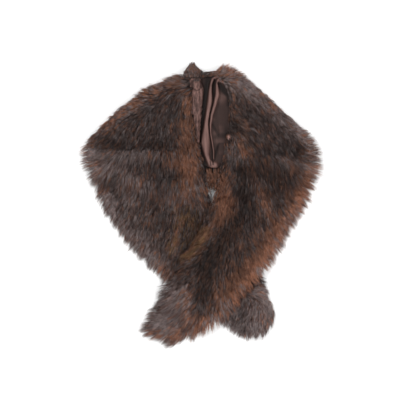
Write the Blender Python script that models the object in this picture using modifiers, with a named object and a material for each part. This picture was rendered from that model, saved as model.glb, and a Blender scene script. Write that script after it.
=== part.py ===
"""Fur collar wrap, laid flat: a shaped fur stole with a satin lining.

The back panel lies underneath with its fur down. The band turns over a fold at each shoulder, and the
two fronts lie on top with their fur up, the right front crossed over the left. Left and right are those
of someone who looks down on the wrap with its neck edge away from them.

Lengths are metres and +Z is up. +X runs to the right, +Y towards the neck edge, and the origin is on
the surface that the wrap lies on, below the middle of its outline.
"""

import math
from collections import namedtuple

import bmesh
import bpy
from mathutils import Vector

# Walls. A pelt's wall is its skin with the fur that lies on it.
BACK_WALL = 0.012
FRONT_WALL = 0.016
LINING_WALL = 0.0012
CORNER_WALL = 0.008

# Gaps.
SEAM = 0.0003
FACING_GAP = 0.0005
LINING_SPACE = LINING_WALL + 2 * SEAM
CROSSING_GAP = 0.0014

# The rounded edge of a pelt: how far in it starts, and the edge's own share of the wall.
EDGE_ROUND = 0.018
EDGE_SHARE = 0.18
EDGE_STATIONS = (0.0, 0.1, 0.32, 0.66, 1.0)
MIDDLE_STATIONS = 6

# How an upper layer comes down past the edge of a lower one.
REACH_PAST_EDGE = 0.007
SLOPE_LENGTH = 0.036

# The turn over a shoulder: half the space between the layers, and steps round the turn.
TURN_INNER = LINING_SPACE / 2
TURN_STEPS = 6
TURN_HEIGHT = BACK_WALL + TURN_INNER

# Heights of the skin side of a front where it lies on the lining, and of the left front's fur.
FRONT_ON_BACK = BACK_WALL + LINING_SPACE
FRONT_ON_FRONT = FRONT_WALL + CROSSING_GAP

# The round end of the left front.
ROUND_END = Vector((0.1135, -0.2265))
ROUND_END_RADIUS = 0.044
ROUND_END_RISE = 0.022
ROUND_END_MARGIN = 0.016

STEPS_PER_ROW = 2
UP = Vector((0.0, 0.0, 1.0))

# A section runs across the band from its neck edge, through its middle, to its hem.
Section = namedtuple("Section", "neck_x neck_y mid_x mid_y hem_x hem_y wall")

BACK_ROWS = (
    Section(-0.009, 0.266, -0.127, 0.182, -0.222, 0.089, BACK_WALL),  # seam to the left shoulder
    Section(-0.003, 0.269, -0.064, 0.171, -0.106, 0.064, BACK_WALL),
    Section(0.004, 0.270, 0.009, 0.161, 0.024, 0.041, BACK_WALL),  # middle of the back
    Section(0.012, 0.270, 0.072, 0.180, 0.129, 0.064, BACK_WALL),
    Section(0.018, 0.270, 0.102, 0.215, 0.224, 0.089, BACK_WALL),  # seam to the right shoulder
)

LEFT_ROWS = (
    Section(-0.009, 0.268, -0.142, 0.203, -0.236, 0.106, FRONT_WALL),  # fold over the shoulder
    Section(0.006, 0.238, -0.121, 0.178, -0.246, 0.102, FRONT_WALL),
    Section(0.004, 0.201, -0.114, 0.156, -0.247, 0.097, FRONT_WALL),
    Section(0.001, 0.163, -0.108, 0.135, -0.247, 0.090, FRONT_WALL),
    Section(-0.001, 0.133, -0.106, 0.118, -0.246, 0.083, FRONT_WALL),  # seam, shoulder to breast
    Section(-0.001, 0.108, -0.104, 0.091, -0.240, 0.072, FRONT_WALL),
    Section(0.011, 0.064, -0.102, 0.064, -0.234, 0.062, FRONT_WALL),
    Section(0.018, 0.033, -0.098, 0.033, -0.226, 0.035, FRONT_WALL),
    Section(0.022, 0.001, -0.091, -0.001, -0.215, 0.003, FRONT_WALL),
    Section(0.035, -0.030, -0.077, -0.037, -0.190, -0.033, FRONT_WALL),
    Section(0.058, -0.066, -0.049, -0.072, -0.167, -0.066, FRONT_WALL),
    Section(0.085, -0.100, -0.018, -0.106, -0.131, -0.100, FRONT_WALL),
    Section(0.108, -0.131, 0.014, -0.140, -0.093, -0.135, FRONT_WALL),  # seam, breast to end
    Section(0.127, -0.163, 0.043, -0.173, -0.054, -0.175, FRONT_WALL),
    Section(0.146, -0.196, 0.070, -0.207, -0.009, -0.211, FRONT_WALL),
    Section(0.159, -0.226, 0.096, -0.238, 0.033, -0.245, FRONT_WALL),
    Section(0.146, -0.257, 0.108, -0.266, 0.068, -0.268, 0.014),
    Section(0.125, -0.272, 0.108, -0.277, 0.091, -0.276, 0.009),  # tip of the round end
)

RIGHT_ROWS = (
    Section(0.028, 0.272, 0.112, 0.234, 0.236, 0.106, FRONT_WALL),  # fold over the shoulder
    Section(0.049, 0.251, 0.129, 0.211, 0.245, 0.098, FRONT_WALL),
    Section(0.059, 0.228, 0.140, 0.188, 0.248, 0.091, FRONT_WALL),
    Section(0.060, 0.196, 0.146, 0.161, 0.248, 0.085, FRONT_WALL),
    Section(0.058, 0.163, 0.148, 0.131, 0.246, 0.077, FRONT_WALL),
    Section(0.052, 0.129, 0.148, 0.106, 0.243, 0.068, FRONT_WALL),
    Section(0.047, 0.100, 0.146, 0.087, 0.236, 0.058, FRONT_WALL),  # seam, shoulder to breast
    Section(0.041, 0.070, 0.142, 0.060, 0.231, 0.042, FRONT_WALL),
    Section(0.035, 0.035, 0.133, 0.030, 0.227, 0.021, FRONT_WALL),
    Section(0.024, -0.001, 0.121, -0.005, 0.215, -0.003, FRONT_WALL),
    Section(0.012, -0.039, 0.104, -0.041, 0.194, -0.037, FRONT_WALL),
    Section(-0.005, -0.072, 0.085, -0.077, 0.177, -0.070, FRONT_WALL),
    Section(-0.028, -0.102, 0.062, -0.108, 0.159, -0.104, FRONT_WALL),
    Section(-0.043, -0.129, 0.041, -0.138, 0.133, -0.138, FRONT_WALL),  # seam, breast to end
    Section(-0.064, -0.154, 0.018, -0.169, 0.108, -0.169, FRONT_WALL),
    Section(-0.079, -0.182, -0.005, -0.201, 0.081, -0.205, FRONT_WALL),
    Section(-0.089, -0.209, -0.026, -0.230, 0.051, -0.234, FRONT_WALL),
    Section(-0.102, -0.236, -0.049, -0.255, 0.016, -0.259, FRONT_WALL),
    Section(-0.114, -0.259, -0.072, -0.276, -0.026, -0.280, 0.014),
    Section(-0.108, -0.276, -0.087, -0.286, -0.066, -0.291, 0.009),  # tip of the pointed end
)

LEFT_BREAST_SEAM = 4
LEFT_END_SEAM = 12
RIGHT_BREAST_SEAM = 6
RIGHT_END_SEAM = 13

# The largest creases and ridges of the fur side: a line from start to end, its rise (a crease has a
# negative one) and the distance over which it fades to each side.
Fold = namedtuple("Fold", "start_x start_y end_x end_y rise spread")
FOLDS = (
    Fold(-0.205, 0.118, -0.052, 0.121, -0.0045, 0.016),  # left, under the shoulder
    Fold(-0.195, 0.099, -0.060, 0.102, 0.0035, 0.016),
    Fold(0.105, 0.112, 0.205, 0.105, -0.0035, 0.016),  # right, under the shoulder
    Fold(0.093, 0.091, 0.217, 0.081, 0.0040, 0.015),
    Fold(0.070, 0.084, 0.108, 0.046, -0.0035, 0.016),  # right breast
    Fold(0.100, 0.036, 0.094, -0.045, -0.0045, 0.018),
    Fold(0.124, 0.018, 0.140, -0.024, 0.0035, 0.018),
    Fold(0.078, -0.030, 0.050, -0.086, -0.0035, 0.018),
)

# The lining's rows run down the back, from the neck edge to its lower edge. The lift is the height of
# the long fold that stands on that row.
LiningRow = namedtuple("LiningRow", "neck_x neck_y hem_x hem_y lift")
LINING_ROWS = (
    LiningRow(-0.012, 0.256, -0.196, 0.100, 0.0),
    LiningRow(-0.006, 0.260, -0.106, 0.088, 0.0),
    LiningRow(0.002, 0.262, -0.002, 0.080, 0.0),
    LiningRow(0.0095, 0.264, 0.006, 0.078, 0.0),
    LiningRow(0.0145, 0.266, 0.011, 0.074, 0.0080),
    LiningRow(0.018, 0.266, 0.015, 0.072, 0.0082),
    LiningRow(0.0215, 0.266, 0.0185, 0.071, 0.0012),
    LiningRow(0.0255, 0.266, 0.022, 0.070, 0.0066),
    LiningRow(0.029, 0.265, 0.026, 0.070, 0.0064),
    LiningRow(0.034, 0.264, 0.030, 0.071, 0.0010),
    LiningRow(0.040, 0.262, 0.034, 0.073, 0.0024),
    LiningRow(0.046, 0.256, 0.037, 0.076, 0.0),
    LiningRow(0.060, 0.250, 0.110, 0.086, 0.0),
    LiningRow(0.064, 0.246, 0.204, 0.098, 0.0),
)
LINING_STATIONS = 14
FOLD_RUN_OUT = 0.16

# The satin strip on the left neck edge: rows of the left front, and the strip's width on each.
FacingRow = namedtuple("FacingRow", "row width")
FACING_ROWS = (
    FacingRow(0.5, 0.026),
    FacingRow(1.0, 0.028),
    FacingRow(1.5, 0.028),
    FacingRow(2.0, 0.024),
    FacingRow(2.5, 0.021),
    FacingRow(3.0, 0.018),
    FacingRow(3.5, 0.012),
)

# The pointed corner at the left end of the neck edge lies on the left shoulder.
CornerRow = namedtuple("CornerRow", "right_x right_y left_x left_y under wall")
CORNER_ROWS = (
    CornerRow(0.010, 0.254, -0.034, 0.258, 0.0312, 0.0050),
    CornerRow(0.011, 0.263, -0.036, 0.266, 0.0312, CORNER_WALL),
    CornerRow(0.010, 0.271, -0.035, 0.274, 0.0312, CORNER_WALL),
    CornerRow(0.002, 0.280, -0.030, 0.281, 0.0290, CORNER_WALL),
    CornerRow(-0.008, 0.287, -0.024, 0.287, 0.0240, 0.0065),
    CornerRow(-0.013, 0.291, -0.019, 0.291, 0.0200, 0.0040),
)

FUR_ROUGHNESS = 0.75
SATIN_ROUGHNESS = 0.38
Finish = namedtuple("Finish", "red green blue roughness")
FINISHES = {
    "back_pelt": Finish(0.075, 0.042, 0.034, FUR_ROUGHNESS),
    "back_lining": Finish(0.150, 0.080, 0.068, SATIN_ROUGHNESS),
    "left_shoulder_pelt": Finish(0.062, 0.036, 0.030, FUR_ROUGHNESS),
    "left_breast_pelt": Finish(0.070, 0.044, 0.038, FUR_ROUGHNESS),
    "left_end_pelt": Finish(0.062, 0.044, 0.042, FUR_ROUGHNESS),
    "right_shoulder_pelt": Finish(0.072, 0.040, 0.032, FUR_ROUGHNESS),
    "right_breast_pelt": Finish(0.095, 0.046, 0.032, FUR_ROUGHNESS),
    "right_end_pelt": Finish(0.080, 0.046, 0.038, FUR_ROUGHNESS),
    "left_neck_facing": Finish(0.150, 0.080, 0.068, SATIN_ROUGHNESS),
    "collar_corner": Finish(0.080, 0.046, 0.038, FUR_ROUGHNESS),
}


def clear_scene():
    for obj in list(bpy.data.objects):
        bpy.data.objects.remove(obj, do_unlink=True)


def make_material(name):
    """One finish for each piece."""
    finish = FINISHES[name]
    material = bpy.data.materials.new(name)
    material.use_nodes = True
    shader = material.node_tree.nodes["Principled BSDF"]
    shader.inputs["Base Color"].default_value = (finish.red, finish.green, finish.blue, 1.0)
    shader.inputs["Roughness"].default_value = finish.roughness
    shader.inputs["Metallic"].default_value = 0.0
    return material


def between(rows, place):
    """The row at a place between the rows of a table, on a smooth curve through all of them."""
    last = len(rows) - 1
    index = min(int(place), last - 1)
    t = place - index
    before, here = rows[max(index - 1, 0)], rows[index]
    there, after = rows[index + 1], rows[min(index + 2, last)]
    values = [
        0.5 * (2 * b + (c - a) * t + (2 * a - 5 * b + 4 * c - d) * t**2 + (3 * b - a - 3 * c + d) * t**3)
        for a, b, c, d in zip(before, here, there, after)
    ]
    return type(here)(*values)


def places(first, last, steps=STEPS_PER_ROW):
    """Even places from one row to another."""
    count = round((last - first) * steps)
    return [first + i / steps for i in range(count + 1)]


def across(section, share):
    """The plan point at a share of the way from the neck edge to the hem."""
    neck = Vector((section.neck_x, section.neck_y))
    mid = Vector((section.mid_x, section.mid_y))
    hem = Vector((section.hem_x, section.hem_y))
    bend = 2 * mid - (neck + hem) / 2
    return neck * (1 - share) ** 2 + bend * 2 * share * (1 - share) + hem * share**2


def edge_round(distance, reach):
    """The share of the wall that stands at a distance in from an edge."""
    x = min(distance / reach, 1.0)
    return EDGE_SHARE + (1 - EDGE_SHARE) * math.sqrt(1 - (1 - x) ** 2)


def stations(section):
    """Shares of the way across a section, with the share of the wall at each."""
    width = math.hypot(section.hem_x - section.neck_x, section.hem_y - section.neck_y)
    reach = min(EDGE_ROUND, 0.42 * width)
    edge = [reach * s / width for s in EDGE_STATIONS]
    inner = 1 - 2 * edge[-1]
    middle = [edge[-1] + inner * (i + 1) / (MIDDLE_STATIONS + 1) for i in range(MIDDLE_STATIONS)]
    shares = edge + middle + [1 - s for s in reversed(edge)]
    return [(s, edge_round(min(s, 1 - s) * width, reach)) for s in shares]


def distance_to_line(point, start, end):
    """The distance from a plan point to a line with two ends."""
    along = end - start
    share = max(0.0, min(1.0, (point - start).dot(along) / along.length_squared))
    return (point - start - along * share).length


def distance_outside(point, outline):
    """How far a plan point lies outside a closed outline, or 0 inside it."""
    inside = False
    nearest = math.inf
    for start, end in zip(outline, outline[1:] + outline[:1]):
        nearest = min(nearest, distance_to_line(point, start, end))
        if (start.y > point.y) != (end.y > point.y):
            crossing = start.x + (point.y - start.y) * (end.x - start.x) / (end.y - start.y)
            inside ^= point.x < crossing
    return 0.0 if inside else nearest


def slope_down(distance):
    """1 on a lower layer and just past its edge, then a soft slope to 0."""
    x = (distance - REACH_PAST_EDGE) / SLOPE_LENGTH
    x = max(0.0, min(1.0, x))
    return 1 - x * x * (3 - 2 * x)


def round_end_rise(point, margin=0.0):
    """How much higher the filled, round end of the left front stands than its plain wall."""
    x = (point - ROUND_END).length / (ROUND_END_RADIUS + margin)
    return ROUND_END_RISE * max(0.0, 1 - x * x)


def fold_rise(point):
    """The height of the creases and ridges at a plan point."""
    rise = 0.0
    for fold in FOLDS:
        start, end = Vector((fold.start_x, fold.start_y)), Vector((fold.end_x, fold.end_y))
        x = distance_to_line(point, start, end) / fold.spread
        rise += fold.rise * math.exp(-x * x)
    return rise


def band_outline(rows, first, last):
    """The closed plan outline of a stretch of a band."""
    sections = [between(rows, p) for p in places(first, last)]
    neck = [Vector((s.neck_x, s.neck_y)) for s in sections]
    hem = [Vector((s.hem_x, s.hem_y)) for s in sections]
    return neck + hem[::-1]


def back_outline():
    """The outline of everything that lies under the fronts, from one shoulder fold to the other."""
    shares = [i / 8 for i in range(9)]
    left_fold = [across(LEFT_ROWS[0], s) for s in shares]
    right_fold = [across(RIGHT_ROWS[0], s) for s in reversed(shares)]
    hem = [Vector((s.hem_x, s.hem_y)) for s in BACK_ROWS]
    return left_fold + hem + right_fold


BACK_OUTLINE = back_outline()
LEFT_CROSSING = band_outline(LEFT_ROWS, LEFT_BREAST_SEAM + 4, len(LEFT_ROWS) - 1)


def under_left(point):
    """The skin side of the left front: on the back's lining, then down to the surface."""
    return FRONT_ON_BACK * slope_down(distance_outside(point, BACK_OUTLINE))


def under_right(point):
    """The skin side of the right front: on the lining, across the left front, then down."""
    on_back = under_left(point)
    on_left = FRONT_ON_FRONT * slope_down(distance_outside(point, LEFT_CROSSING))
    return max(on_back, on_left + round_end_rise(point, ROUND_END_MARGIN))


def front_ring(section, under, is_left):
    """The skin side and the fur side of a front, from neck edge to hem."""
    skin, fur = [], []
    for share, round_share in stations(section):
        point = across(section, share)
        foot = Vector((point.x, point.y, under(point)))
        rise = section.wall + fold_rise(point)
        if is_left:
            rise += round_end_rise(point)
        skin.append(foot)
        fur.append(foot + UP * rise * round_share)
    return skin, fur


def back_ring(section):
    """The skin side and the fur side of a stretch that lies fur down."""
    skin, fur = [], []
    for share, round_share in stations(section):
        point = across(section, share)
        foot = Vector((point.x, point.y, BACK_WALL))
        skin.append(foot)
        fur.append(foot - UP * BACK_WALL * round_share)
    return skin, fur


def turn_ring(section, turn):
    """A ring of a shoulder fold. The turn goes from 0, fur down, to a half circle, fur up."""
    chord = Vector((section.hem_x - section.neck_x, section.hem_y - section.neck_y, 0.0))
    outward = chord.cross(UP).normalized()
    if outward.y < 0:
        outward = -outward
    facing = outward * math.sin(turn) - UP * math.cos(turn)
    wall = BACK_WALL + (section.wall - BACK_WALL) * turn / math.pi
    skin, fur = [], []
    for share, round_share in stations(section):
        point = across(section, share)
        foot = Vector((point.x, point.y, TURN_HEIGHT)) + facing * TURN_INNER
        skin.append(foot)
        fur.append(foot + facing * wall * round_share)
    return skin, fur


def shoulder_rings(rows, back_row, under, seam, is_left):
    """A shoulder pelt: fur down next to the back, round the fold, then fur up to its lower seam."""
    rings = [back_ring(back_row)]
    rings += [turn_ring(rows[0], math.pi * i / TURN_STEPS) for i in range(TURN_STEPS + 1)]
    rings += [front_ring(between(rows, p), under, is_left) for p in places(0, seam)[1:]]
    return rings


def front_rings(rows, first, last, under, is_left):
    return [front_ring(between(rows, p), under, is_left) for p in places(first, last)]


def facing_ring(entry):
    """The satin strip across the left front's neck edge, made from that edge's points, moved out."""
    section = between(LEFT_ROWS, entry.row)
    skin, fur = front_ring(section, under_left, True)
    last = len(EDGE_STATIONS)
    start, inner = fur[last - 1], (fur[last] - fur[last - 1]).normalized()
    reach = (start - fur[0]).to_2d().length
    tail = start + inner * max(entry.width - reach, 0.002)
    line = fur[:last] + [tail]
    inward = Vector((inner.x, inner.y, 0.0)).normalized()
    near, far = [], []
    for i, point in enumerate(line):
        before, after = line[max(i - 1, 0)], line[min(i + 1, len(line) - 1)]
        slope = after - before
        run, climb = slope.dot(inward), slope.z
        outward = (UP * run - inward * climb).normalized()
        near.append(point + outward * FACING_GAP)
        far.append(point + outward * (FACING_GAP + LINING_WALL))
    return near, far


def corner_ring(row):
    """The collar corner's skin side and fur side, from right to left."""
    right, left = Vector((row.right_x, row.right_y)), Vector((row.left_x, row.left_y))
    width = (left - right).length
    reach = 0.4 * width
    shares = (0.0, 0.06, 0.2, 0.4, 0.6, 0.8, 0.94, 1.0)
    skin, fur = [], []
    for share in shares:
        point = right.lerp(left, share)
        foot = Vector((point.x, point.y, row.under))
        round_share = edge_round(min(share, 1 - share) * width, reach)
        skin.append(foot)
        fur.append(foot + UP * row.wall * round_share)
    return skin, fur


def moved_towards(ring, other):
    """A ring's points, each moved half a seam towards the next ring."""
    return tuple(
        [a + (b - a).normalized() * SEAM / 2 for a, b in zip(side, other_side)]
        for side, other_side in zip(ring, other)
    )


def loft(name, rings):
    """A closed body through rings, each a row of points on the skin side and one on the other side."""
    rings = [moved_towards(rings[0], rings[1])] + rings[1:-1] + [moved_towards(rings[-1], rings[-2])]
    work = bmesh.new()
    loops = []
    for skin, fur in rings:
        loops.append([work.verts.new(p) for p in skin + fur[::-1]])
    count = len(loops[0])
    for loop, following in zip(loops, loops[1:]):
        for i in range(count):
            j = (i + 1) % count
            work.faces.new((loop[i], loop[j], following[j], following[i]))
    for loop in (loops[0], loops[-1]):
        for i in range(count // 2 - 1):
            work.faces.new((loop[i], loop[i + 1], loop[count - 2 - i], loop[count - 1 - i]))
    bmesh.ops.recalc_face_normals(work, faces=work.faces)
    mesh = bpy.data.meshes.new(name)
    work.to_mesh(mesh)
    work.free()
    return add_piece(name, mesh)


def add_piece(name, mesh):
    mesh.shade_smooth()
    mesh.set_sharp_from_angle(angle=math.radians(50))
    mesh.materials.append(make_material(name))
    piece = bpy.data.objects.new(name, mesh)
    bpy.data.collections["fur_collar_wrap"].objects.link(piece)
    return piece


def lining_lift(row, share):
    """A long fold rises from the neck edge and dies out towards the lining's lower edge."""
    rise = min(share / FOLD_RUN_OUT, 1.0)
    fall = min((1 - share) / FOLD_RUN_OUT, 1.0)
    return row.lift * math.sin(rise * math.pi / 2) * math.sin(fall * math.pi / 2)


def make_lining():
    """The back's lining: one surface with its long folds, thickened upwards."""
    work = bmesh.new()
    grid = []
    for row in LINING_ROWS:
        neck, hem = Vector((row.neck_x, row.neck_y)), Vector((row.hem_x, row.hem_y))
        line = []
        for i in range(LINING_STATIONS):
            share = i / (LINING_STATIONS - 1)
            point = neck.lerp(hem, share)
            height = BACK_WALL + SEAM + lining_lift(row, share)
            line.append(work.verts.new((point.x, point.y, height)))
        grid.append(line)
    for line, following in zip(grid, grid[1:]):
        for i in range(LINING_STATIONS - 1):
            work.faces.new((line[i], line[i + 1], following[i + 1], following[i]))
    bmesh.ops.recalc_face_normals(work, faces=work.faces)
    if next(iter(work.faces)).normal.z < 0:
        bmesh.ops.reverse_faces(work, faces=work.faces)
    mesh = bpy.data.meshes.new("back_lining")
    work.to_mesh(mesh)
    work.free()
    piece = add_piece("back_lining", mesh)
    wall = piece.modifiers.new("wall", "SOLIDIFY")
    wall.thickness = LINING_WALL
    wall.offset = 1.0
    return piece


def make_pelts():
    """The fur pieces, from the back round each shoulder to the two ends."""
    left_last, right_last = len(LEFT_ROWS) - 1, len(RIGHT_ROWS) - 1
    loft("back_pelt", [back_ring(between(BACK_ROWS, p)) for p in places(0, len(BACK_ROWS) - 1)])
    loft(
        "left_shoulder_pelt",
        shoulder_rings(LEFT_ROWS, BACK_ROWS[0], under_left, LEFT_BREAST_SEAM, True),
    )
    loft(
        "left_breast_pelt",
        front_rings(LEFT_ROWS, LEFT_BREAST_SEAM, LEFT_END_SEAM, under_left, True),
    )
    loft("left_end_pelt", front_rings(LEFT_ROWS, LEFT_END_SEAM, left_last, under_left, True))
    loft(
        "right_shoulder_pelt",
        shoulder_rings(RIGHT_ROWS, BACK_ROWS[-1], under_right, RIGHT_BREAST_SEAM, False),
    )
    loft(
        "right_breast_pelt",
        front_rings(RIGHT_ROWS, RIGHT_BREAST_SEAM, RIGHT_END_SEAM, under_right, False),
    )
    loft("right_end_pelt", front_rings(RIGHT_ROWS, RIGHT_END_SEAM, right_last, under_right, False))


def make_trims():
    """The satin strip and the collar corner."""
    loft("left_neck_facing", [facing_ring(entry) for entry in FACING_ROWS])
    loft("collar_corner", [corner_ring(row) for row in CORNER_ROWS])


def main():
    clear_scene()
    collection = bpy.data.collections.new("fur_collar_wrap")
    bpy.context.scene.collection.children.link(collection)
    make_pelts()
    make_lining()
    make_trims()


main()
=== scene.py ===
"""Looks of the fur collar wrap: pelts with their fur, a satin lining, a satin strip and a collar corner.

The wrap lies flat. Its band is drawn by sections, each across the band from the neck edge, through the
middle, to the hem. Left and right are those of someone who looks down on the wrap with its neck edge
away from them. Lengths are metres, +X runs to the right and +Y towards the neck edge.
"""

import math
from collections import namedtuple

import bmesh
import bpy
from bpy.props import FloatProperty, FloatVectorProperty, IntProperty, PointerProperty
from bpy.types import Operator, Panel, PropertyGroup
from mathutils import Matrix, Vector, noise


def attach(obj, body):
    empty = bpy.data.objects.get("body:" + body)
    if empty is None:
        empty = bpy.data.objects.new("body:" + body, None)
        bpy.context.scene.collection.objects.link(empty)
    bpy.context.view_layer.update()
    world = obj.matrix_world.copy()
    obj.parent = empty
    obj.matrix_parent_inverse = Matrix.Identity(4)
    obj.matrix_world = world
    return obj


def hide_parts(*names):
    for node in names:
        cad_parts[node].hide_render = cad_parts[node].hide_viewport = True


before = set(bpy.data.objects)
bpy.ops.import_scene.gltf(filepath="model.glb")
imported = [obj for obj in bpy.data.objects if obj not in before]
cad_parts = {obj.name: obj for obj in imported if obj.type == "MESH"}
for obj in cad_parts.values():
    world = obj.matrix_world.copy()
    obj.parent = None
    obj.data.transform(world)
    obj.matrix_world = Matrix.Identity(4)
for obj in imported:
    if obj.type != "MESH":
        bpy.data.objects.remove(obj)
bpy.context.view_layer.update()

bl_info = {
    "name": "Fur collar wrap",
    "version": (1, 0, 0),
    "blender": (4, 5, 0),
    "location": "3D View > Sidebar > Fur wrap",
    "description": "Makes the fur, the satin and the trims of a collar wrap around its frame",
    "category": "Add Mesh",
}

BODY = "root"
UP = Vector((0.0, 0.0, 1.0))

# Walls of the frame's solids and the gaps between them.
BACK_WALL = 0.012
FRONT_WALL = 0.016
LINING_WALL = 0.0012
SEAM = 0.0003
FACING_GAP = 0.0005
LINING_SPACE = LINING_WALL + 2 * SEAM
CROSSING_GAP = 0.0014
FRONT_ON_BACK = BACK_WALL + LINING_SPACE
FRONT_ON_FRONT = FRONT_WALL + CROSSING_GAP
TURN_INNER = LINING_SPACE / 2
TURN_HEIGHT = BACK_WALL + TURN_INNER

# How an upper layer comes down past the edge of a lower one.
REACH_PAST_EDGE = 0.007
SLOPE_LENGTH = 0.036

# The filled, round end of the left front.
ROUND_END = Vector((0.1135, -0.2265))
ROUND_END_RADIUS = 0.044
ROUND_END_RISE = 0.022
ROUND_END_MARGIN = 0.016

# The skin with its dense underfur. The long hairs fill the rest of the frame's walls.
HIDE_WALL = 0.006
HIDE_EDGE = 0.008
HIDE_EDGE_SHARE = 0.2
HIDE_STATIONS = 30
HIDE_STEPS = 6
TURN_STEPS = 10
HEM_INSET = 0.021
NECK_INSET = 0.004
# From the first to the second of these rows a front's neck edge becomes a free one, with its own inset.
FREE_EDGE_ROWS = {"left": (11, 13), "right": (10, 14)}
FREE_EDGE_INSETS = {"left": 0.013, "right": 0.015}
# The insets take up no more than these shares of a section.
MOST_NECK_INSET = 0.35
MOST_HEM_INSET = 0.40

# A section runs across the band from its neck edge, through its middle, to its hem.
Section = namedtuple("Section", "neck_x neck_y mid_x mid_y hem_x hem_y")

BACK_ROWS = (
    Section(-0.009, 0.266, -0.127, 0.182, -0.222, 0.089),
    Section(-0.003, 0.269, -0.064, 0.171, -0.106, 0.064),
    Section(0.004, 0.270, 0.009, 0.161, 0.024, 0.041),
    Section(0.012, 0.270, 0.072, 0.180, 0.129, 0.064),
    Section(0.018, 0.270, 0.102, 0.215, 0.224, 0.089),
)

LEFT_ROWS = (
    Section(-0.009, 0.268, -0.142, 0.203, -0.236, 0.106),
    Section(0.006, 0.238, -0.121, 0.178, -0.246, 0.102),
    Section(0.004, 0.201, -0.114, 0.156, -0.247, 0.097),
    Section(0.001, 0.163, -0.108, 0.135, -0.247, 0.090),
    Section(-0.001, 0.133, -0.106, 0.118, -0.246, 0.083),
    Section(-0.001, 0.108, -0.104, 0.091, -0.240, 0.072),
    Section(0.011, 0.064, -0.102, 0.064, -0.234, 0.062),
    Section(0.018, 0.033, -0.098, 0.033, -0.226, 0.035),
    Section(0.022, 0.001, -0.091, -0.001, -0.215, 0.003),
    Section(0.035, -0.030, -0.077, -0.037, -0.190, -0.033),
    Section(0.058, -0.066, -0.049, -0.072, -0.167, -0.066),
    Section(0.085, -0.100, -0.018, -0.106, -0.131, -0.100),
    Section(0.108, -0.131, 0.014, -0.140, -0.093, -0.135),
    Section(0.127, -0.163, 0.043, -0.173, -0.054, -0.175),
    Section(0.146, -0.196, 0.070, -0.207, -0.009, -0.211),
    Section(0.159, -0.226, 0.096, -0.238, 0.033, -0.245),
    Section(0.146, -0.257, 0.108, -0.266, 0.068, -0.268),
    Section(0.125, -0.272, 0.108, -0.277, 0.091, -0.276),
)

RIGHT_ROWS = (
    Section(0.028, 0.272, 0.112, 0.234, 0.236, 0.106),
    Section(0.049, 0.251, 0.129, 0.211, 0.245, 0.098),
    Section(0.059, 0.228, 0.140, 0.188, 0.248, 0.091),
    Section(0.060, 0.196, 0.146, 0.161, 0.248, 0.085),
    Section(0.058, 0.163, 0.148, 0.131, 0.246, 0.077),
    Section(0.052, 0.129, 0.148, 0.106, 0.243, 0.068),
    Section(0.047, 0.100, 0.146, 0.087, 0.236, 0.058),
    Section(0.041, 0.070, 0.142, 0.060, 0.231, 0.042),
    Section(0.035, 0.035, 0.133, 0.030, 0.227, 0.021),
    Section(0.024, -0.001, 0.121, -0.005, 0.215, -0.003),
    Section(0.012, -0.039, 0.104, -0.041, 0.194, -0.037),
    Section(-0.005, -0.072, 0.085, -0.077, 0.177, -0.070),
    Section(-0.028, -0.102, 0.062, -0.108, 0.159, -0.104),
    Section(-0.043, -0.129, 0.041, -0.138, 0.133, -0.138),
    Section(-0.064, -0.154, 0.018, -0.169, 0.108, -0.169),
    Section(-0.079, -0.182, -0.005, -0.201, 0.081, -0.205),
    Section(-0.089, -0.209, -0.026, -0.230, 0.051, -0.234),
    Section(-0.102, -0.236, -0.049, -0.255, 0.016, -0.259),
    Section(-0.114, -0.259, -0.072, -0.276, -0.026, -0.280),
    Section(-0.108, -0.276, -0.087, -0.286, -0.066, -0.291),
)

# The pelts: the rows that each covers, and how it lies. The two ends stop short of their tips, because
# the hair reaches on from there.
Pelt = namedtuple("Pelt", "name side first last held")
PELTS = (
    Pelt("back", "back", 0, 4, "laid"),
    Pelt("left_shoulder", "left", 0, 4, "folded"),
    Pelt("left_breast", "left", 4, 12, "laid"),
    Pelt("left_end", "left", 12, 16.1, "laid"),
    Pelt("right_shoulder", "right", 0, 6, "folded"),
    Pelt("right_breast", "right", 6, 13, "laid"),
    Pelt("right_end", "right", 13, 18.2, "laid"),
)

# Creases and ridges of the fur side: a line from start to end, its rise (a crease has a negative one)
# and the distance over which it fades to each side.
Fold = namedtuple("Fold", "start_x start_y end_x end_y rise spread")
FOLDS = (
    Fold(-0.205, 0.118, -0.052, 0.121, -0.0045, 0.014),
    Fold(-0.195, 0.099, -0.060, 0.102, 0.0035, 0.014),
    Fold(0.105, 0.112, 0.205, 0.105, -0.0035, 0.014),
    Fold(0.093, 0.091, 0.217, 0.081, 0.0040, 0.012),
    Fold(0.070, 0.084, 0.108, 0.046, -0.0035, 0.014),
    Fold(0.100, 0.036, 0.094, -0.045, -0.0045, 0.016),
    Fold(0.124, 0.018, 0.140, -0.024, 0.0035, 0.016),
    Fold(0.078, -0.030, 0.050, -0.086, -0.0035, 0.016),
    Fold(-0.198, 0.055, -0.166, 0.058, -0.0030, 0.010),
    Fold(-0.120, 0.062, -0.030, 0.067, -0.0030, 0.012),
    Fold(-0.037, -0.005, -0.003, 0.003, 0.0030, 0.009),
    Fold(-0.090, -0.022, -0.060, -0.024, 0.0025, 0.008),
    Fold(0.060, 0.158, 0.102, 0.135, -0.0030, 0.010),
)

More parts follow.
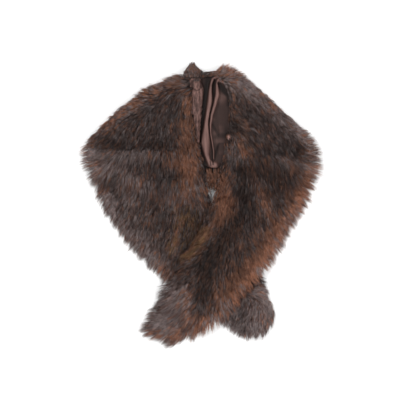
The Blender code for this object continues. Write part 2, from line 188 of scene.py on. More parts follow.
# Which way the hair lies: at each spot, the heading of its tips in degrees, 0 to the right and 90
# towards the neck edge.
Lay = namedtuple("Lay", "x y heading")
LEFT_LAYS = (
    Lay(-0.050, 0.262, 165), Lay(-0.100, 0.232, 160), Lay(-0.150, 0.197, 198), Lay(-0.200, 0.150, 214),
    Lay(-0.240, 0.115, 196), Lay(-0.243, 0.088, 184), Lay(-0.060, 0.215, 250), Lay(-0.100, 0.180, 258),
    Lay(-0.150, 0.145, 252), Lay(-0.020, 0.200, 262), Lay(-0.030, 0.150, 280), Lay(-0.010, 0.100, 285),
    Lay(-0.120, 0.060, 262), Lay(-0.060, 0.060, 268), Lay(-0.180, 0.060, 250), Lay(-0.150, 0.000, 250),
    Lay(-0.238, 0.066, 196), Lay(-0.230, 0.045, 228), Lay(-0.215, 0.000, 250), Lay(-0.180, -0.050, 245),
    Lay(-0.140, -0.100, 238),
    Lay(-0.090, -0.135, 240), Lay(-0.090, -0.060, 255), Lay(-0.030, -0.030, 262), Lay(-0.030, -0.080, 248),
    Lay(0.012, 0.035, 286), Lay(0.016, 0.012, 280), Lay(0.050, -0.170, 300), Lay(0.105, -0.178, 20),
    Lay(0.125, -0.168, 325),
    Lay(0.145, -0.190, 322), Lay(0.160, -0.208, 310), Lay(0.164, -0.230, 295), Lay(0.145, -0.260, 255),
    Lay(0.110, -0.275, 268), Lay(0.075, -0.262, 240),
    Lay(0.110, -0.225, 258), Lay(0.085, -0.215, 240), Lay(0.135, -0.225, 280),
)
RIGHT_LAYS = (
    Lay(0.045, 0.282, 80), Lay(0.046, 0.262, 15), Lay(0.062, 0.250, 308), Lay(0.075, 0.272, 24),
    Lay(0.105, 0.250, 328), Lay(0.140, 0.222, 318), Lay(0.190, 0.175, 330), Lay(0.222, 0.145, 30),
    Lay(0.246, 0.115, 15), Lay(0.250, 0.085, 355), Lay(0.243, 0.055, 338), Lay(0.236, 0.036, 340),
    Lay(0.065, 0.235, 275), Lay(0.090, 0.200, 292), Lay(0.140, 0.165, 290),
    Lay(0.190, 0.125, 295), Lay(0.070, 0.185, 310), Lay(0.085, 0.170, 340), Lay(0.110, 0.155, 310),
    Lay(0.060, 0.140, 285), Lay(0.065, 0.100, 262), Lay(0.110, 0.080, 275), Lay(0.170, 0.060, 280),
    Lay(0.036, 0.040, 240), Lay(0.055, 0.050, 258), Lay(0.050, 0.000, 262), Lay(0.095, 0.010, 265),
    Lay(0.140, 0.000, 285),
    Lay(0.228, 0.020, 318), Lay(0.208, -0.020, 318), Lay(0.190, -0.055, 315), Lay(0.170, -0.090, 315),
    Lay(0.145, -0.125, 318), Lay(0.110, -0.165, 312), Lay(0.030, -0.050, 235), Lay(0.000, -0.085, 222),
    Lay(-0.025, -0.110, 215), Lay(0.070, -0.070, 265), Lay(0.110, -0.090, 290), Lay(0.050, -0.130, 262),
    Lay(0.080, -0.150, 298), Lay(0.010, -0.160, 248), Lay(-0.045, -0.150, 222), Lay(-0.070, -0.170, 194),
    Lay(-0.075, -0.195, 208),
    Lay(-0.098, -0.222, 186), Lay(-0.112, -0.258, 184), Lay(-0.092, -0.240, 190), Lay(-0.085, -0.268, 192),
    Lay(-0.096, -0.286, 220), Lay(-0.060, -0.290, 248), Lay(-0.055, -0.262, 218),
    Lay(-0.060, -0.228, 206), Lay(-0.020, -0.210, 235), Lay(0.020, -0.200, 268), Lay(0.050, -0.225, 290),
    Lay(0.000, -0.265, 270), Lay(0.070, -0.205, 300),
)
BACK_LAYS = (
    Lay(-0.100, 0.150, 250), Lay(0.020, 0.150, 270), Lay(0.120, 0.150, 290), Lay(0.024, 0.060, 268),
    Lay(-0.005, 0.272, 22), Lay(0.008, 0.272, 16), Lay(0.030, 0.272, 14),
)
# Near a spot its heading counts most: how far that reaches, and how fast it falls off.
LAY_BLEND = 0.010
LAY_FALL = 1.6

# How far past its root a hair shows. Its colour is that of the spot there.
SHOWN_ALONG = 0.016

# The fur's colours and painted light: along each stroke from start to end, how far it spreads, and what it
# adds to the shares of rust, grey and gold hairs and to the brightness. Some strokes are the fur's own
# colour; others are painted shade along creases and beside edges, and painted highlights along ridges.
Tint = namedtuple("Tint", "start_x start_y end_x end_y reach rust grey gold light")
LEFT_BASE = Tint(0, 0, 0, 0, 0, 0.16, 0.34, 0.0, 0.43)
LEFT_TINTS_AND_LIGHT = (
    Tint(-0.064, 0.259, -0.211, 0.159, 0.017, 0.30, -0.05, 0.0, 0.38),
    Tint(-0.022, 0.207, -0.030, 0.070, 0.021, 0.75, -0.25, 0.0, 0.16),
    Tint(-0.007, 0.081, -0.035, 0.024, 0.021, 0.38, -0.10, 0.0, 0.14),
    Tint(-0.047, 0.207, -0.045, 0.185, 0.013, 0.0, 0.0, 0.0, -0.20),
    Tint(-0.106, 0.228, -0.085, 0.144, 0.029, -0.05, 0.0, 0.0, -0.06),
    # Painted shade along the crease of the first fold.
    Tint(-0.211, 0.121, -0.089, 0.119, 0.012, 0.0, -0.10, 0.0, -0.24),
    Tint(-0.085, 0.119, -0.018, 0.114, 0.008, 0.15, -0.10, 0.0, -0.07),
    # Painted highlight, lighter and greyer, along the ridge of the second fold.
    Tint(-0.236, 0.100, -0.102, 0.100, 0.012, -0.10, 0.40, 0.0, 0.28),
    Tint(-0.215, 0.068, -0.156, 0.068, 0.021, -0.12, 0.30, 0.0, 0.26),
    Tint(-0.138, 0.079, -0.102, 0.079, 0.013, 0.0, 0.0, 0.0, -0.12),
    Tint(-0.075, 0.054, -0.043, 0.056, 0.017, 0.0, 0.0, 0.0, -0.24),
    # Painted shade along a crease near the left hem.
    Tint(-0.205, 0.047, -0.173, 0.056, 0.008, 0.0, -0.10, 0.0, -0.20),
    Tint(-0.165, 0.041, -0.123, 0.039, 0.015, 0.0, 0.20, 0.0, 0.30),
    Tint(-0.131, 0.014, -0.089, 0.028, 0.017, 0.0, 0.15, 0.0, 0.16),
    Tint(-0.196, 0.007, -0.148, -0.001, 0.021, -0.10, 0.20, 0.0, 0.20),
    Tint(-0.068, 0.096, -0.043, 0.079, 0.015, 0.25, 0.0, 0.0, 0.14),
    Tint(-0.039, 0.255, -0.030, 0.217, 0.013, 0.0, 0.10, 0.0, 0.30),
    Tint(-0.102, 0.007, -0.081, 0.016, 0.008, 0.0, 0.0, 0.0, -0.16),
    Tint(-0.075, 0.012, 0.005, 0.020, 0.019, 0.15, 0.10, 0.0, 0.18),
    Tint(-0.064, -0.009, -0.022, -0.005, 0.008, 0.0, 0.20, 0.0, 0.10),
    Tint(-0.203, -0.003, -0.106, -0.110, 0.021, -0.15, 0.25, 0.0, 0.18),
    Tint(-0.039, -0.028, -0.060, -0.102, 0.009, 0.20, -0.10, 0.60, 0.20),
    Tint(-0.018, -0.024, -0.009, -0.072, 0.017, 0.0, -0.20, 0.55, -0.14),
    Tint(-0.039, -0.087, -0.022, -0.110, 0.010, 0.0, -0.10, 0.30, -0.12),
    Tint(-0.085, -0.123, -0.068, -0.165, 0.015, 0.15, 0.10, 0.0, 0.20),
    Tint(0.079, -0.198, 0.066, -0.255, 0.019, -0.35, 0.55, 0.0, 0.26),
    Tint(0.093, -0.203, 0.093, -0.228, 0.008, 0.0, 0.0, 0.0, -0.16),
    Tint(0.133, -0.203, 0.121, -0.266, 0.025, -0.05, 0.35, 0.0, 0.66),
    Tint(0.100, -0.207, 0.108, -0.257, 0.010, -0.10, 0.10, 0.0, 0.22),
    # Painted shadow at the foot of the slit, beside the left front's neck edge.
    Tint(0.006, 0.083, 0.008, 0.070, 0.005, -0.20, 0.0, 0.0, -0.45),
    Tint(-0.211, 0.079, -0.190, 0.066, 0.013, 0.0, 0.0, 0.0, 0.16),
    Tint(-0.140, -0.060, -0.104, -0.102, 0.017, 0.0, 0.0, 0.0, 0.16),
    Tint(-0.009, -0.005, 0.012, -0.009, 0.010, 0.0, 0.0, 0.0, 0.14),
    Tint(0.096, -0.194, 0.129, -0.186, 0.010, 0.0, 0.20, 0.0, 0.20),
    Tint(0.150, -0.203, 0.159, -0.245, 0.008, 0.35, -0.10, 0.0, 0.12),
    Tint(0.058, -0.228, 0.083, -0.261, 0.013, -0.35, 0.30, 0.0, 0.06),
)
RIGHT_BASE = Tint(0, 0, 0, 0, 0, 0.23, 0.25, 0.0, 0.435)
RIGHT_TINTS_AND_LIGHT = (
    Tint(0.030, 0.276, 0.092, 0.272, 0.019, 0.20, 0.05, 0.0, 0.95),
    Tint(0.058, 0.259, 0.104, 0.238, 0.019, -0.10, 0.45, 0.0, 0.52),
    Tint(0.108, 0.232, 0.219, 0.140, 0.017, -0.10, 0.30, 0.0, 0.36),
    Tint(0.045, 0.192, 0.075, 0.159, 0.010, 0.0, 0.0, 0.0, -0.20),
    Tint(0.062, 0.188, 0.100, 0.161, 0.008, 0.45, -0.10, 0.0, 0.06),
    Tint(0.104, 0.192, 0.209, 0.112, 0.029, -0.15, 0.0, 0.0, -0.06),
    Tint(0.045, 0.142, 0.083, 0.112, 0.015, 0.12, 0.10, 0.0, 0.16),
    Tint(0.079, 0.121, 0.104, 0.075, 0.009, 0.30, -0.05, 0.0, 0.10),
    # Painted shade along the crease of the third fold.
    Tint(0.129, 0.104, 0.205, 0.108, 0.013, -0.05, 0.0, 0.0, -0.16),
    # Painted highlight, lighter and greyer, along the ridge of the fourth fold.
    Tint(0.163, 0.089, 0.234, 0.072, 0.007, -0.10, 0.40, 0.0, 0.28),
    Tint(0.058, 0.096, 0.096, 0.091, 0.008, -0.10, 0.30, 0.0, 0.14),
    Tint(0.108, 0.075, 0.163, 0.054, 0.017, 0.0, -0.10, 0.0, -0.30),
    Tint(0.085, 0.070, 0.096, -0.018, 0.015, -0.15, -0.10, 0.0, -0.30),
    Tint(0.119, 0.041, 0.142, -0.018, 0.009, 0.35, 0.0, 0.0, 0.16),
    Tint(0.037, 0.049, 0.049, -0.018, 0.019, 0.95, -0.25, 0.0, 0.20),
    Tint(0.060, 0.007, 0.016, -0.068, 0.010, 0.60, -0.10, 0.0, 0.04),
    Tint(0.070, -0.043, 0.016, -0.123, 0.019, 0.10, -0.20, 0.0, -0.34),
    Tint(0.014, -0.123, 0.005, -0.190, 0.017, 0.05, -0.20, 0.0, -0.30),
    Tint(0.012, -0.062, -0.026, -0.112, 0.009, 0.30, -0.10, 0.85, 0.16),
    Tint(0.234, 0.060, 0.209, 0.018, 0.019, 0.30, -0.10, 0.0, 0.05),
    Tint(0.209, 0.018, 0.129, -0.119, 0.019, 0.35, -0.10, 0.0, 0.13),
    Tint(0.150, -0.066, 0.100, -0.150, 0.021, 0.45, -0.10, 0.0, 0.05),
    Tint(0.100, -0.140, 0.060, -0.194, 0.021, 0.70, -0.20, 0.0, 0.14),
    Tint(0.066, -0.213, 0.033, -0.249, 0.017, -0.15, 0.20, 0.0, 0.20),
    Tint(-0.060, -0.186, -0.085, -0.249, 0.023, -0.30, 0.50, 0.0, 0.54),
    Tint(-0.030, -0.182, -0.026, -0.249, 0.013, 0.08, 0.1, 0.0, 0.42),
    Tint(-0.051, -0.215, -0.043, -0.257, 0.013, -0.05, 0.15, 0.0, 0.38),
    Tint(-0.096, -0.280, 0.008, -0.264, 0.018, 0.30, -0.10, 0.0, 1.20),
    Tint(-0.114, -0.245, -0.068, -0.259, 0.015, -0.10, 0.30, 0.0, 0.25),
    # Painted shade along the right front's neck edge at the top of the slit.
    Tint(0.045, 0.253, 0.060, 0.222, 0.004, 0.0, -0.40, 0.0, -0.40),
    Tint(0.070, 0.234, 0.072, 0.201, 0.008, 0.0, 0.0, 0.0, 0.16),
    # Painted shadow line along the right front's neck edge, low in the slit.
    Tint(0.045, 0.085, 0.037, 0.054, 0.003, 0.0, 0.0, 0.0, -0.40),
    Tint(0.201, 0.175, 0.222, 0.125, 0.015, 0.0, 0.0, 0.0, 0.16),
    Tint(0.062, 0.028, 0.066, -0.001, 0.008, 0.0, 0.0, 0.0, 0.16),
    Tint(0.064, -0.114, 0.079, -0.148, 0.013, 0.0, 0.0, 0.0, -0.12),
    Tint(0.033, -0.186, 0.028, -0.240, 0.015, 0.35, 0.0, 0.0, 0.10),
    Tint(0.222, 0.129, 0.243, 0.070, 0.019, 0.15, 0.0, 0.0, 0.02),
    Tint(0.200, -0.020, 0.120, -0.150, 0.013, -0.15, 0.15, 0.0, 0.28),
    Tint(0.093, 0.096, 0.117, 0.087, 0.010, 0.10, 0.10, 0.0, 0.16),
    Tint(0.133, -0.003, 0.159, -0.047, 0.013, 0.25, 0.0, 0.0, 0.08),
)
BACK_BASE = Tint(0, 0, 0, 0, 0, 0.40, 0.18, 0.0, 0.42)
BACK_TINTS_AND_LIGHT = (
    Tint(0.020, 0.055, 0.028, 0.055, 0.030, 0.45, -0.1, 0.0, 0.06),
    # Painted shadow at the back's neck edge, with grey sheen hairs.
    Tint(0.004, 0.274, 0.014, 0.270, 0.012, -0.3, 0.2, 0.0, -0.16),
    Tint(0.034, 0.278, 0.044, 0.280, 0.014, 0.3, 0.0, 0.0, 0.16),
)

# The lining's rows run down the back, from the neck edge to its lower edge.
LiningRow = namedtuple("LiningRow", "neck_x neck_y hem_x hem_y")
LINING_ROWS = (
    LiningRow(-0.012, 0.256, -0.196, 0.100),
    LiningRow(-0.006, 0.260, -0.106, 0.088),
    LiningRow(0.002, 0.266, -0.002, 0.080),
    LiningRow(0.046, 0.266, 0.038, 0.072),
    LiningRow(0.060, 0.250, 0.110, 0.086),
    LiningRow(0.064, 0.246, 0.204, 0.098),
)

# A trace is a line over the satin: points along it, with its half width and its strength there.
Trace = namedtuple("Trace", "x y half_width amount")

# The long folds of the lining. The strength is the fold's height.
LINING_CRESTS = (
    (
        Trace(0.041, 0.2665, 0.0021, 0.0035), Trace(0.0335, 0.2665, 0.0027, 0.0060),
        Trace(0.026, 0.2605, 0.0029, 0.0075), Trace(0.0225, 0.251, 0.0029, 0.0085),
        Trace(0.0205, 0.234, 0.0034, 0.0090), Trace(0.0205, 0.217, 0.0052, 0.0090),
        Trace(0.017, 0.196, 0.0046, 0.0090), Trace(0.013, 0.175, 0.0042, 0.0090),
        Trace(0.012, 0.154, 0.0061, 0.0092), Trace(0.0105, 0.127, 0.0095, 0.0095),
        Trace(0.013, 0.102, 0.0046, 0.0088), Trace(0.0195, 0.083, 0.0036, 0.0080),
    ),
    (
        Trace(0.038, 0.2595, 0.0027, 0.0055), Trace(0.0345, 0.251, 0.0023, 0.0080),
        Trace(0.0355, 0.228, 0.0042, 0.0085), Trace(0.031, 0.209, 0.0034, 0.0085),
        Trace(0.024, 0.186, 0.0027, 0.0083), Trace(0.021, 0.165, 0.0019, 0.0075),
        Trace(0.0215, 0.148, 0.0012, 0.0062), Trace(0.0277, 0.108, 0.0015, 0.0055),
        Trace(0.028, 0.0935, 0.0015, 0.0050),
    ),
    (
        Trace(0.0195, 0.0865, 0.0044, 0.0076), Trace(0.025, 0.080, 0.0076, 0.0074),
        Trace(0.029, 0.080, 0.0070, 0.0072),
    ),
    (
        Trace(0.041, 0.257, 0.0025, 0.0040), Trace(0.0505, 0.256, 0.0040, 0.0045),
        Trace(0.059, 0.2455, 0.0034, 0.0040),
    ),
    (
        Trace(0.046, 0.215, 0.0063, 0.0018), Trace(0.044, 0.192, 0.0074, 0.0014),
        Trace(0.043, 0.167, 0.0067, 0.0016), Trace(0.046, 0.150, 0.0055, 0.0030),
        Trace(0.041, 0.129, 0.0063, 0.0020), Trace(0.0425, 0.104, 0.0042, 0.0020),
    ),
)
# How light each of those folds is, from 0 in deep shade to 1.
CREST_SHADES = (0.86, 0.84, 0.90, 0.72, 0.15)

# The shaded hollows between the folds. The strength is how much they darken the satin.
LINING_HOLLOWS = (
    (
        Trace(0.023, 0.273, 0.0046, 0.97), Trace(0.0165, 0.2635, 0.0061, 0.97),
        Trace(0.0115, 0.2385, 0.0055, 0.97), Trace(0.007, 0.213, 0.0061, 0.97),
        Trace(0.0046, 0.186, 0.0053, 0.97), Trace(0.0027, 0.165, 0.0044, 0.97),
        Trace(0.0, 0.144, 0.0032, 0.97), Trace(-0.0017, 0.125, 0.0034, 0.97),
        Trace(0.0025, 0.102, 0.0050, 0.97), Trace(0.009, 0.077, 0.0065, 0.97),
        Trace(0.009, 0.070, 0.0067, 0.97),
    ),
    (
        Trace(0.0292, 0.2595, 0.0023, 0.95), Trace(0.027, 0.247, 0.0038, 0.97),
        Trace(0.0273, 0.228, 0.0027, 0.95), Trace(0.026, 0.211, 0.0014, 0.91),
        Trace(0.0197, 0.186, 0.0014, 0.92), Trace(0.0174, 0.165, 0.0017, 0.93),
        Trace(0.0193, 0.144, 0.0012, 0.90), Trace(0.0246, 0.1125, 0.0019, 0.80),
        Trace(0.025, 0.0915, 0.0017, 0.85),
    ),
    (
        Trace(0.038, 0.252, 0.0034, 0.93), Trace(0.043, 0.2455, 0.0057, 0.97),
        Trace(0.048, 0.239, 0.0057, 0.97), Trace(0.0535, 0.231, 0.0040, 0.95),
        Trace(0.058, 0.2215, 0.0025, 0.90), Trace(0.059, 0.205, 0.0021, 0.85),
    ),
    (
        Trace(0.0393, 0.126, 0.0013, 0.75), Trace(0.0355, 0.1175, 0.0027, 0.88),
        Trace(0.0325, 0.108, 0.0034, 0.90), Trace(0.0307, 0.100, 0.0023, 0.88),
        Trace(0.0296, 0.090, 0.0011, 0.70),
    ),
    (
        Trace(0.026, 0.165, 0.0027, 0.55), Trace(0.0305, 0.1565, 0.0025, 0.65),
        Trace(0.0375, 0.144, 0.0034, 0.60), Trace(0.041, 0.1395, 0.0021, 0.30),
    ),
    (
        Trace(0.0563, 0.184, 0.0015, 0.80), Trace(0.055, 0.165, 0.0015, 0.85),
        Trace(0.052, 0.1335, 0.0015, 0.90), Trace(0.0477, 0.106, 0.0015, 0.90),
        Trace(0.041, 0.084, 0.0027, 0.93), Trace(0.0385, 0.064, 0.0025, 0.93),
    ),
    (Trace(0.0204, 0.088, 0.0011, 0.75), Trace(0.0218, 0.079, 0.0012, 0.88)),
    (Trace(0.0258, 0.0935, 0.0013, 0.90), Trace(0.0265, 0.0815, 0.0014, 0.88)),
    (
        Trace(0.009, 0.150, 0.0011, 0.18), Trace(0.0065, 0.1335, 0.0013, 0.22),
        Trace(0.008, 0.1125, 0.0013, 0.25),
    ),
    (
        Trace(0.014, 0.146, 0.0011, 0.18), Trace(0.0145, 0.123, 0.0013, 0.25),
        Trace(0.015, 0.100, 0.0011, 0.25),
    ),
    (
        Trace(0.0235, 0.2235, 0.0011, 0.22), Trace(0.022, 0.205, 0.0011, 0.25),
        Trace(0.0185, 0.188, 0.0011, 0.20),
    ),
)

# Soft highlights on the flat of the satin.
Shine = namedtuple("Shine", "x y reach shade")
LINING_SHINES = (
    Shine(0.047, 0.2235, 0.0084, 0.30),
    Shine(0.041, 0.215, 0.0052, 0.12),
    Shine(0.046, 0.152, 0.0042, 0.66),
    Shine(0.041, 0.160, 0.0040, 0.14),
    Shine(0.051, 0.153, 0.0042, 0.24),
    Shine(0.031, 0.148, 0.0050, 0.26),
    Shine(0.0336, 0.131, 0.0050, 0.22),
    Shine(0.044, 0.131, 0.0060, 0.20),
    Shine(0.043, 0.106, 0.0052, 0.16),
    Shine(0.0273, 0.1775, 0.0034, 0.14),
)
LINING_SHADE = 0.13
# The folds fade out towards the neck edge and the hem, where the lining is sewn down.
LINING_HEM_END = (0.070, 0.078)
LINING_NECK_END = (0.272, 0.264)
# The fine pleats are this shallow on the flat, and full on a fold of this height.
PLEAT_ON_FLAT = 0.3
PLEAT_FULL_HEIGHT = 0.008

# The satin strip on the left front's neck edge: rows of the left front, and the strip's width there.
FacingRow = namedtuple("FacingRow", "row width")
FACING_ROWS = (
    FacingRow(0.15, 0.0180),
    FacingRow(0.45, 0.0230),
    FacingRow(0.70, 0.0245),
    FacingRow(1.00, 0.0265),
    FacingRow(1.30, 0.0285),
    FacingRow(1.70, 0.0290),
    FacingRow(2.05, 0.0270),
    FacingRow(2.30, 0.0225),
    FacingRow(2.70, 0.0200),
    FacingRow(3.10, 0.0165),
    FacingRow(3.60, 0.0130),
    FacingRow(4.20, 0.0065),
)
FACING_EDGE = 0.018
# How far its top leans out over the slit, and over how many rows.
FACING_LEAN = 0.0045
FACING_LEAN_ROWS = (0.4, 1.3)
# How far in over the strip's far edge the hair still grows.
FACING_OVERHANG = 0.003

# The hollows crumpled into the strip: they run mostly along it.
FACING_HOLLOWS = (
    (
        Trace(-0.0178, 0.255, 0.0030, 0.85), Trace(-0.0172, 0.247, 0.0034, 0.92),
        Trace(-0.016, 0.2395, 0.0026, 0.85),
    ),
    (
        Trace(0.0020, 0.2545, 0.0030, 0.92), Trace(0.0030, 0.249, 0.0034, 0.95),
        Trace(0.0010, 0.2425, 0.0024, 0.85),
    ),
    (
        Trace(-0.0126, 0.2385, 0.0013, 0.60), Trace(-0.0074, 0.2356, 0.0015, 0.70),
        Trace(-0.0015, 0.2385, 0.0013, 0.60),
    ),
    (Trace(-0.0044, 0.252, 0.0013, 0.35), Trace(-0.0057, 0.2435, 0.0013, 0.35)),
    (
        Trace(-0.018, 0.2215, 0.0023, 0.50), Trace(-0.019, 0.209, 0.0029, 0.72),
        Trace(-0.0187, 0.196, 0.0030, 0.75), Trace(-0.016, 0.186, 0.0017, 0.45),
    ),
    (
        Trace(-0.0107, 0.228, 0.0012, 0.42),
        Trace(-0.0124, 0.215, 0.0014, 0.45),
        Trace(-0.011, 0.2025, 0.0012, 0.40),
    ),
    (
        Trace(-0.0013, 0.2235, 0.0015, 0.45),
        Trace(0.0, 0.213, 0.0013, 0.50),
        Trace(-0.0017, 0.1985, 0.0013, 0.35),
    ),
    (
        Trace(-0.0065, 0.2235, 0.0013, 0.30), Trace(-0.0086, 0.211, 0.0017, 0.50),
        Trace(-0.0073, 0.1955, 0.0023, 0.70), Trace(-0.0065, 0.188, 0.0015, 0.45),
    ),
    (Trace(-0.0172, 0.1775, 0.0021, 0.60), Trace(-0.0166, 0.167, 0.0017, 0.50)),
    (
        Trace(-0.009, 0.1815, 0.0013, 0.40), Trace(-0.0103, 0.169, 0.0017, 0.50),
        Trace(-0.0105, 0.1565, 0.0027, 0.75), Trace(-0.01, 0.1415, 0.0023, 0.65),
        Trace(-0.0073, 0.1315, 0.0015, 0.45),
    ),
    (
        Trace(-0.0032, 0.209, 0.0010, 0.35), Trace(-0.004, 0.192, 0.0010, 0.30),
        Trace(-0.0038, 0.173, 0.0010, 0.35), Trace(-0.0048, 0.154, 0.0010, 0.35),
    ),
)
FACING_SHADE = 0.80
FACING_DARKEST = 0.05
# How light it is at the slit's edge, as a share.
FACING_EDGE_SHADE = 0.35
# How much painted shade darkens its far side, where it flattens against the fur: shares of its width, and
# rows.
FACING_DIM = 0.25
FACING_DIM_SHARES = (0.35, 0.75)
FACING_DIM_ROWS = (0.5, 1.5)
# How uneven its width is: waves to a row, a share of the width, and the depth of the notches in it.
FACING_RAGGED = 0.16
FACING_RAGGED_WAVES = 4.5
FACING_NOTCH = 0.0020
FACING_NOTCH_WAVES = 5.5
# Its wall, where it starts from the front's neck edge, its share of the height there, and its least one.
FACING_WALL = 0.0008
FACING_START = 0.0008
FACING_EDGE_HEIGHT = 0.18
FACING_LEAST_HEIGHT = 0.003
# The depth and the shade of its hollows, and the far edge that tucks in under the hair.
FACING_HOLLOW_DEPTH = 0.0016
FACING_HOLLOW_SHADE = 0.85
FACING_TUCK = 0.0030
FACING_TUCK_SHARES = (0.86, 1.0)
# The left front is as thick as its frame under it, less a gap: the rows where that starts and ends, and
# how far from the neck edge.
FACING_BED_START = (0.0, 0.3)
FACING_BED_END = (3.9, 3.1)
FACING_BED_REACH = (0.026, 0.016)
FACING_BED_GAP = 0.0015

# Crumples in the satin: waves to a metre across and along, where their noise is read, and what they add
# to the height and to the shade.
Crumple = namedtuple("Crumple", "across along layer height shade")
FACING_CRUMPLES = (Crumple(250, 120, 1.0, 0.0017, 0.60), Crumple(520, 330, 5.0, 0.0008, 0.45))
LINING_PLEAT = Crumple(420, 45, 3.0, 0.0005, 0.22)

# The pointed corner at the left end of the neck edge lies on the left shoulder.
CornerRow = namedtuple("CornerRow", "right_x right_y left_x left_y under wall")
CORNER_ROWS = (
    CornerRow(0.009, 0.2615, -0.037, 0.2605, 0.0210, 0.0105),
    CornerRow(0.010, 0.266, -0.037, 0.266, 0.0200, 0.0115),
    CornerRow(0.006, 0.273, -0.034, 0.274, 0.0105, 0.0155),
    CornerRow(-0.003, 0.280, -0.029, 0.281, 0.0050, 0.0125),
    CornerRow(-0.011, 0.287, -0.023, 0.287, 0.0025, 0.0078),
    CornerRow(-0.0165, 0.2935, -0.0185, 0.2935, 0.0020, 0.0040),
)
# Shares of the way across the corner, closer together near its two edges, how far in from its outline
# the skin stops, and its edges' share of the wall.
CORNER_SHARES = (0.0, 0.04, 0.12, 0.25, 0.4, 0.5, 0.6, 0.75, 0.88, 0.96, 1.0)
CORNER_INSET = 0.06
CORNER_EDGE_WALL = 0.3
# How much lower the corner's right side lies, where it leaves the front and crosses the neck gap: in full
# where the row lies this high, and fading out over these shares of the way.
CORNER_DROOP = 0.0105
CORNER_DROOP_UNDER = 0.020
CORNER_DROOP_SHARES = (0.4, 0.0)
# The left front's hair leaves room for the corner: no hair this near to its middle.
CORNER_MIDDLE = Vector((-0.013, 0.272))
CORNER_RADIUS = 0.020
CORNER_LAYS = (
    Lay(-0.036, 0.268, 96), Lay(-0.030, 0.280, 66), Lay(-0.018, 0.292, 92), Lay(-0.002, 0.280, 122),
    Lay(0.008, 0.268, 104), Lay(-0.012, 0.268, 94), Lay(-0.012, 0.260, 96), Lay(-0.032, 0.258, 120),
    Lay(0.006, 0.260, 70),
)
CORNER_BASE = Tint(0, 0, 0, 0, 0, 0.18, 0.38, 0.0, 0.68)
CORNER_TINTS_AND_LIGHT = (
    Tint(-0.012, 0.284, -0.012, 0.290, 0.012, 0.15, 0.0, 0.0, 0.10),
    Tint(0.002, 0.256, 0.010, 0.270, 0.008, 0.0, 0.0, 0.0, -0.14),
)
# The lays of the hair on each part, and its tints with their painted shade and highlights.
Look = namedtuple("Look", "lays base tints")
LOOKS = {
    "left": Look(LEFT_LAYS, LEFT_BASE, LEFT_TINTS_AND_LIGHT),
    "right": Look(RIGHT_LAYS, RIGHT_BASE, RIGHT_TINTS_AND_LIGHT),
    "back": Look(BACK_LAYS, BACK_BASE, BACK_TINTS_AND_LIGHT),
    "turn": Look(BACK_LAYS, BACK_BASE, BACK_TINTS_AND_LIGHT),
    "neck": Look(BACK_LAYS, BACK_BASE, BACK_TINTS_AND_LIGHT),
    "corner": Look(CORNER_LAYS, CORNER_BASE, CORNER_TINTS_AND_LIGHT),
    "thread": Look(RIGHT_LAYS, BACK_BASE, ()),
}
# The outermost hair is thin and lets light through, painted into its colour as extra brightness and rust:
# how far in that reaches, and what it adds.
RIM_REACH = 0.026
RIM_LIGHT = 0.42
RIM_RUST = 0.14

# Where the hair reaches further past the hem, or less far: rows of each band, and the change there.
HEM_CHANGES = {
    "back": ((0, 0.0), (4, 0.0)),
    "left": ((0, 0.0), (3, -0.004), (5.5, -0.004), (7.5, 0.003), (11, 0.003), (13, 0.0), (15, 0.005)),
    "right": ((0, 0.0), (3, -0.003), (7, -0.005), (8.5, -0.003), (10, 0.0), (16, 0.0), (17.5, 0.004)),
}

# The back's hem and neck edge turn up past the lining, so their fur shows. Rows across each turn run from
# its left end to its right end.
TurnRow = namedtuple("TurnRow", "left_x left_y right_x right_y height")
HEM_TURN = (
    TurnRow(0.012, 0.0785, 0.042, 0.0785, 0.0118),
    TurnRow(0.012, 0.070, 0.040, 0.070, 0.0150),
    TurnRow(0.012, 0.058, 0.040, 0.058, 0.0165),
    TurnRow(0.012, 0.049, 0.037, 0.049, 0.0150),
    TurnRow(0.016, 0.042, 0.033, 0.042, 0.0120),
)
NECK_TURN = (
    TurnRow(-0.010, 0.2665, 0.046, 0.2665, 0.0145),
    TurnRow(-0.010, 0.270, 0.042, 0.271, 0.0215),
    TurnRow(-0.009, 0.2748, 0.036, 0.2768, 0.0200),
)

# Below the slit the fronts part a little, and the hair there is thin.
GAP_MIDDLE = Vector((0.025, 0.036))
GAP_RADIUS = 0.013
GAP_THIN = 0.92
# The hair thins out over this distance beside a bare patch.
HAIR_LINE = 0.004

# Round a shoulder the hair is turned from 0, fur down, to 1, fur up. The side that lies underneath has
# this share of the cover and of the length, the cover grows over this part of the turn, and up to this
# much of it all the hair counts as the rim's.
UNDER_COVER = 0.35
UNDER_COVER_TURN = (0.15, 0.45)
UNDER_LENGTH = 0.62
RIM_TURN = 0.4

# Where a front's hair is shorter, and by which share: along the neck slit, over the shoulder, at the top
# of the slit's right side and on the round end. Rows are those where it starts to fade and has faded out.
SLIT_SHORTER = 0.50
SLIT_END_ROWS = {"left": (8.5, 7.0), "right": (9.0, 7.5)}
SLIT_REACH = 0.028
SHOULDER_SHORTER = 0.16
SHOULDER_END_ROW = 4
SLIT_TOP_SHORTER = 0.4
SLIT_TOP_ROWS = (2.2, 1.2)
SLIT_TOP_REACH = 0.012
BALL_SHORTER = 0.30
BALL_ROWS = (12.5, 14.0)

# The length of the short hair, as a share of the full length.
SHORT_COATS = {"back": 0.75, "turn": 0.60, "neck": 0.25, "corner": 0.24, "thread": 0.30}

# Where the row of stitches starts, and the patch that the loose thread ends stand on: its middle, and the
# distances between its points.
STITCH_START = (-0.0140, 0.2562, 0.0345)
THREAD_ENDS = (0.0565, 0.1385, 0.0210)
THREAD_STEPS = (0.001, 0.0030)

# How finely the sheets and the turned-up edges are divided.
LINING_STEPS = (4, 4, 60, 4, 4)
LINING_STATIONS = 110
FACING_STEPS = 12
FACING_STATIONS = 26
CORNER_STEPS = 3
TURN_STATIONS = 8

# The hair on the back is pressed flat: the share of its rise that is left.
BACK_RISE = 0.45
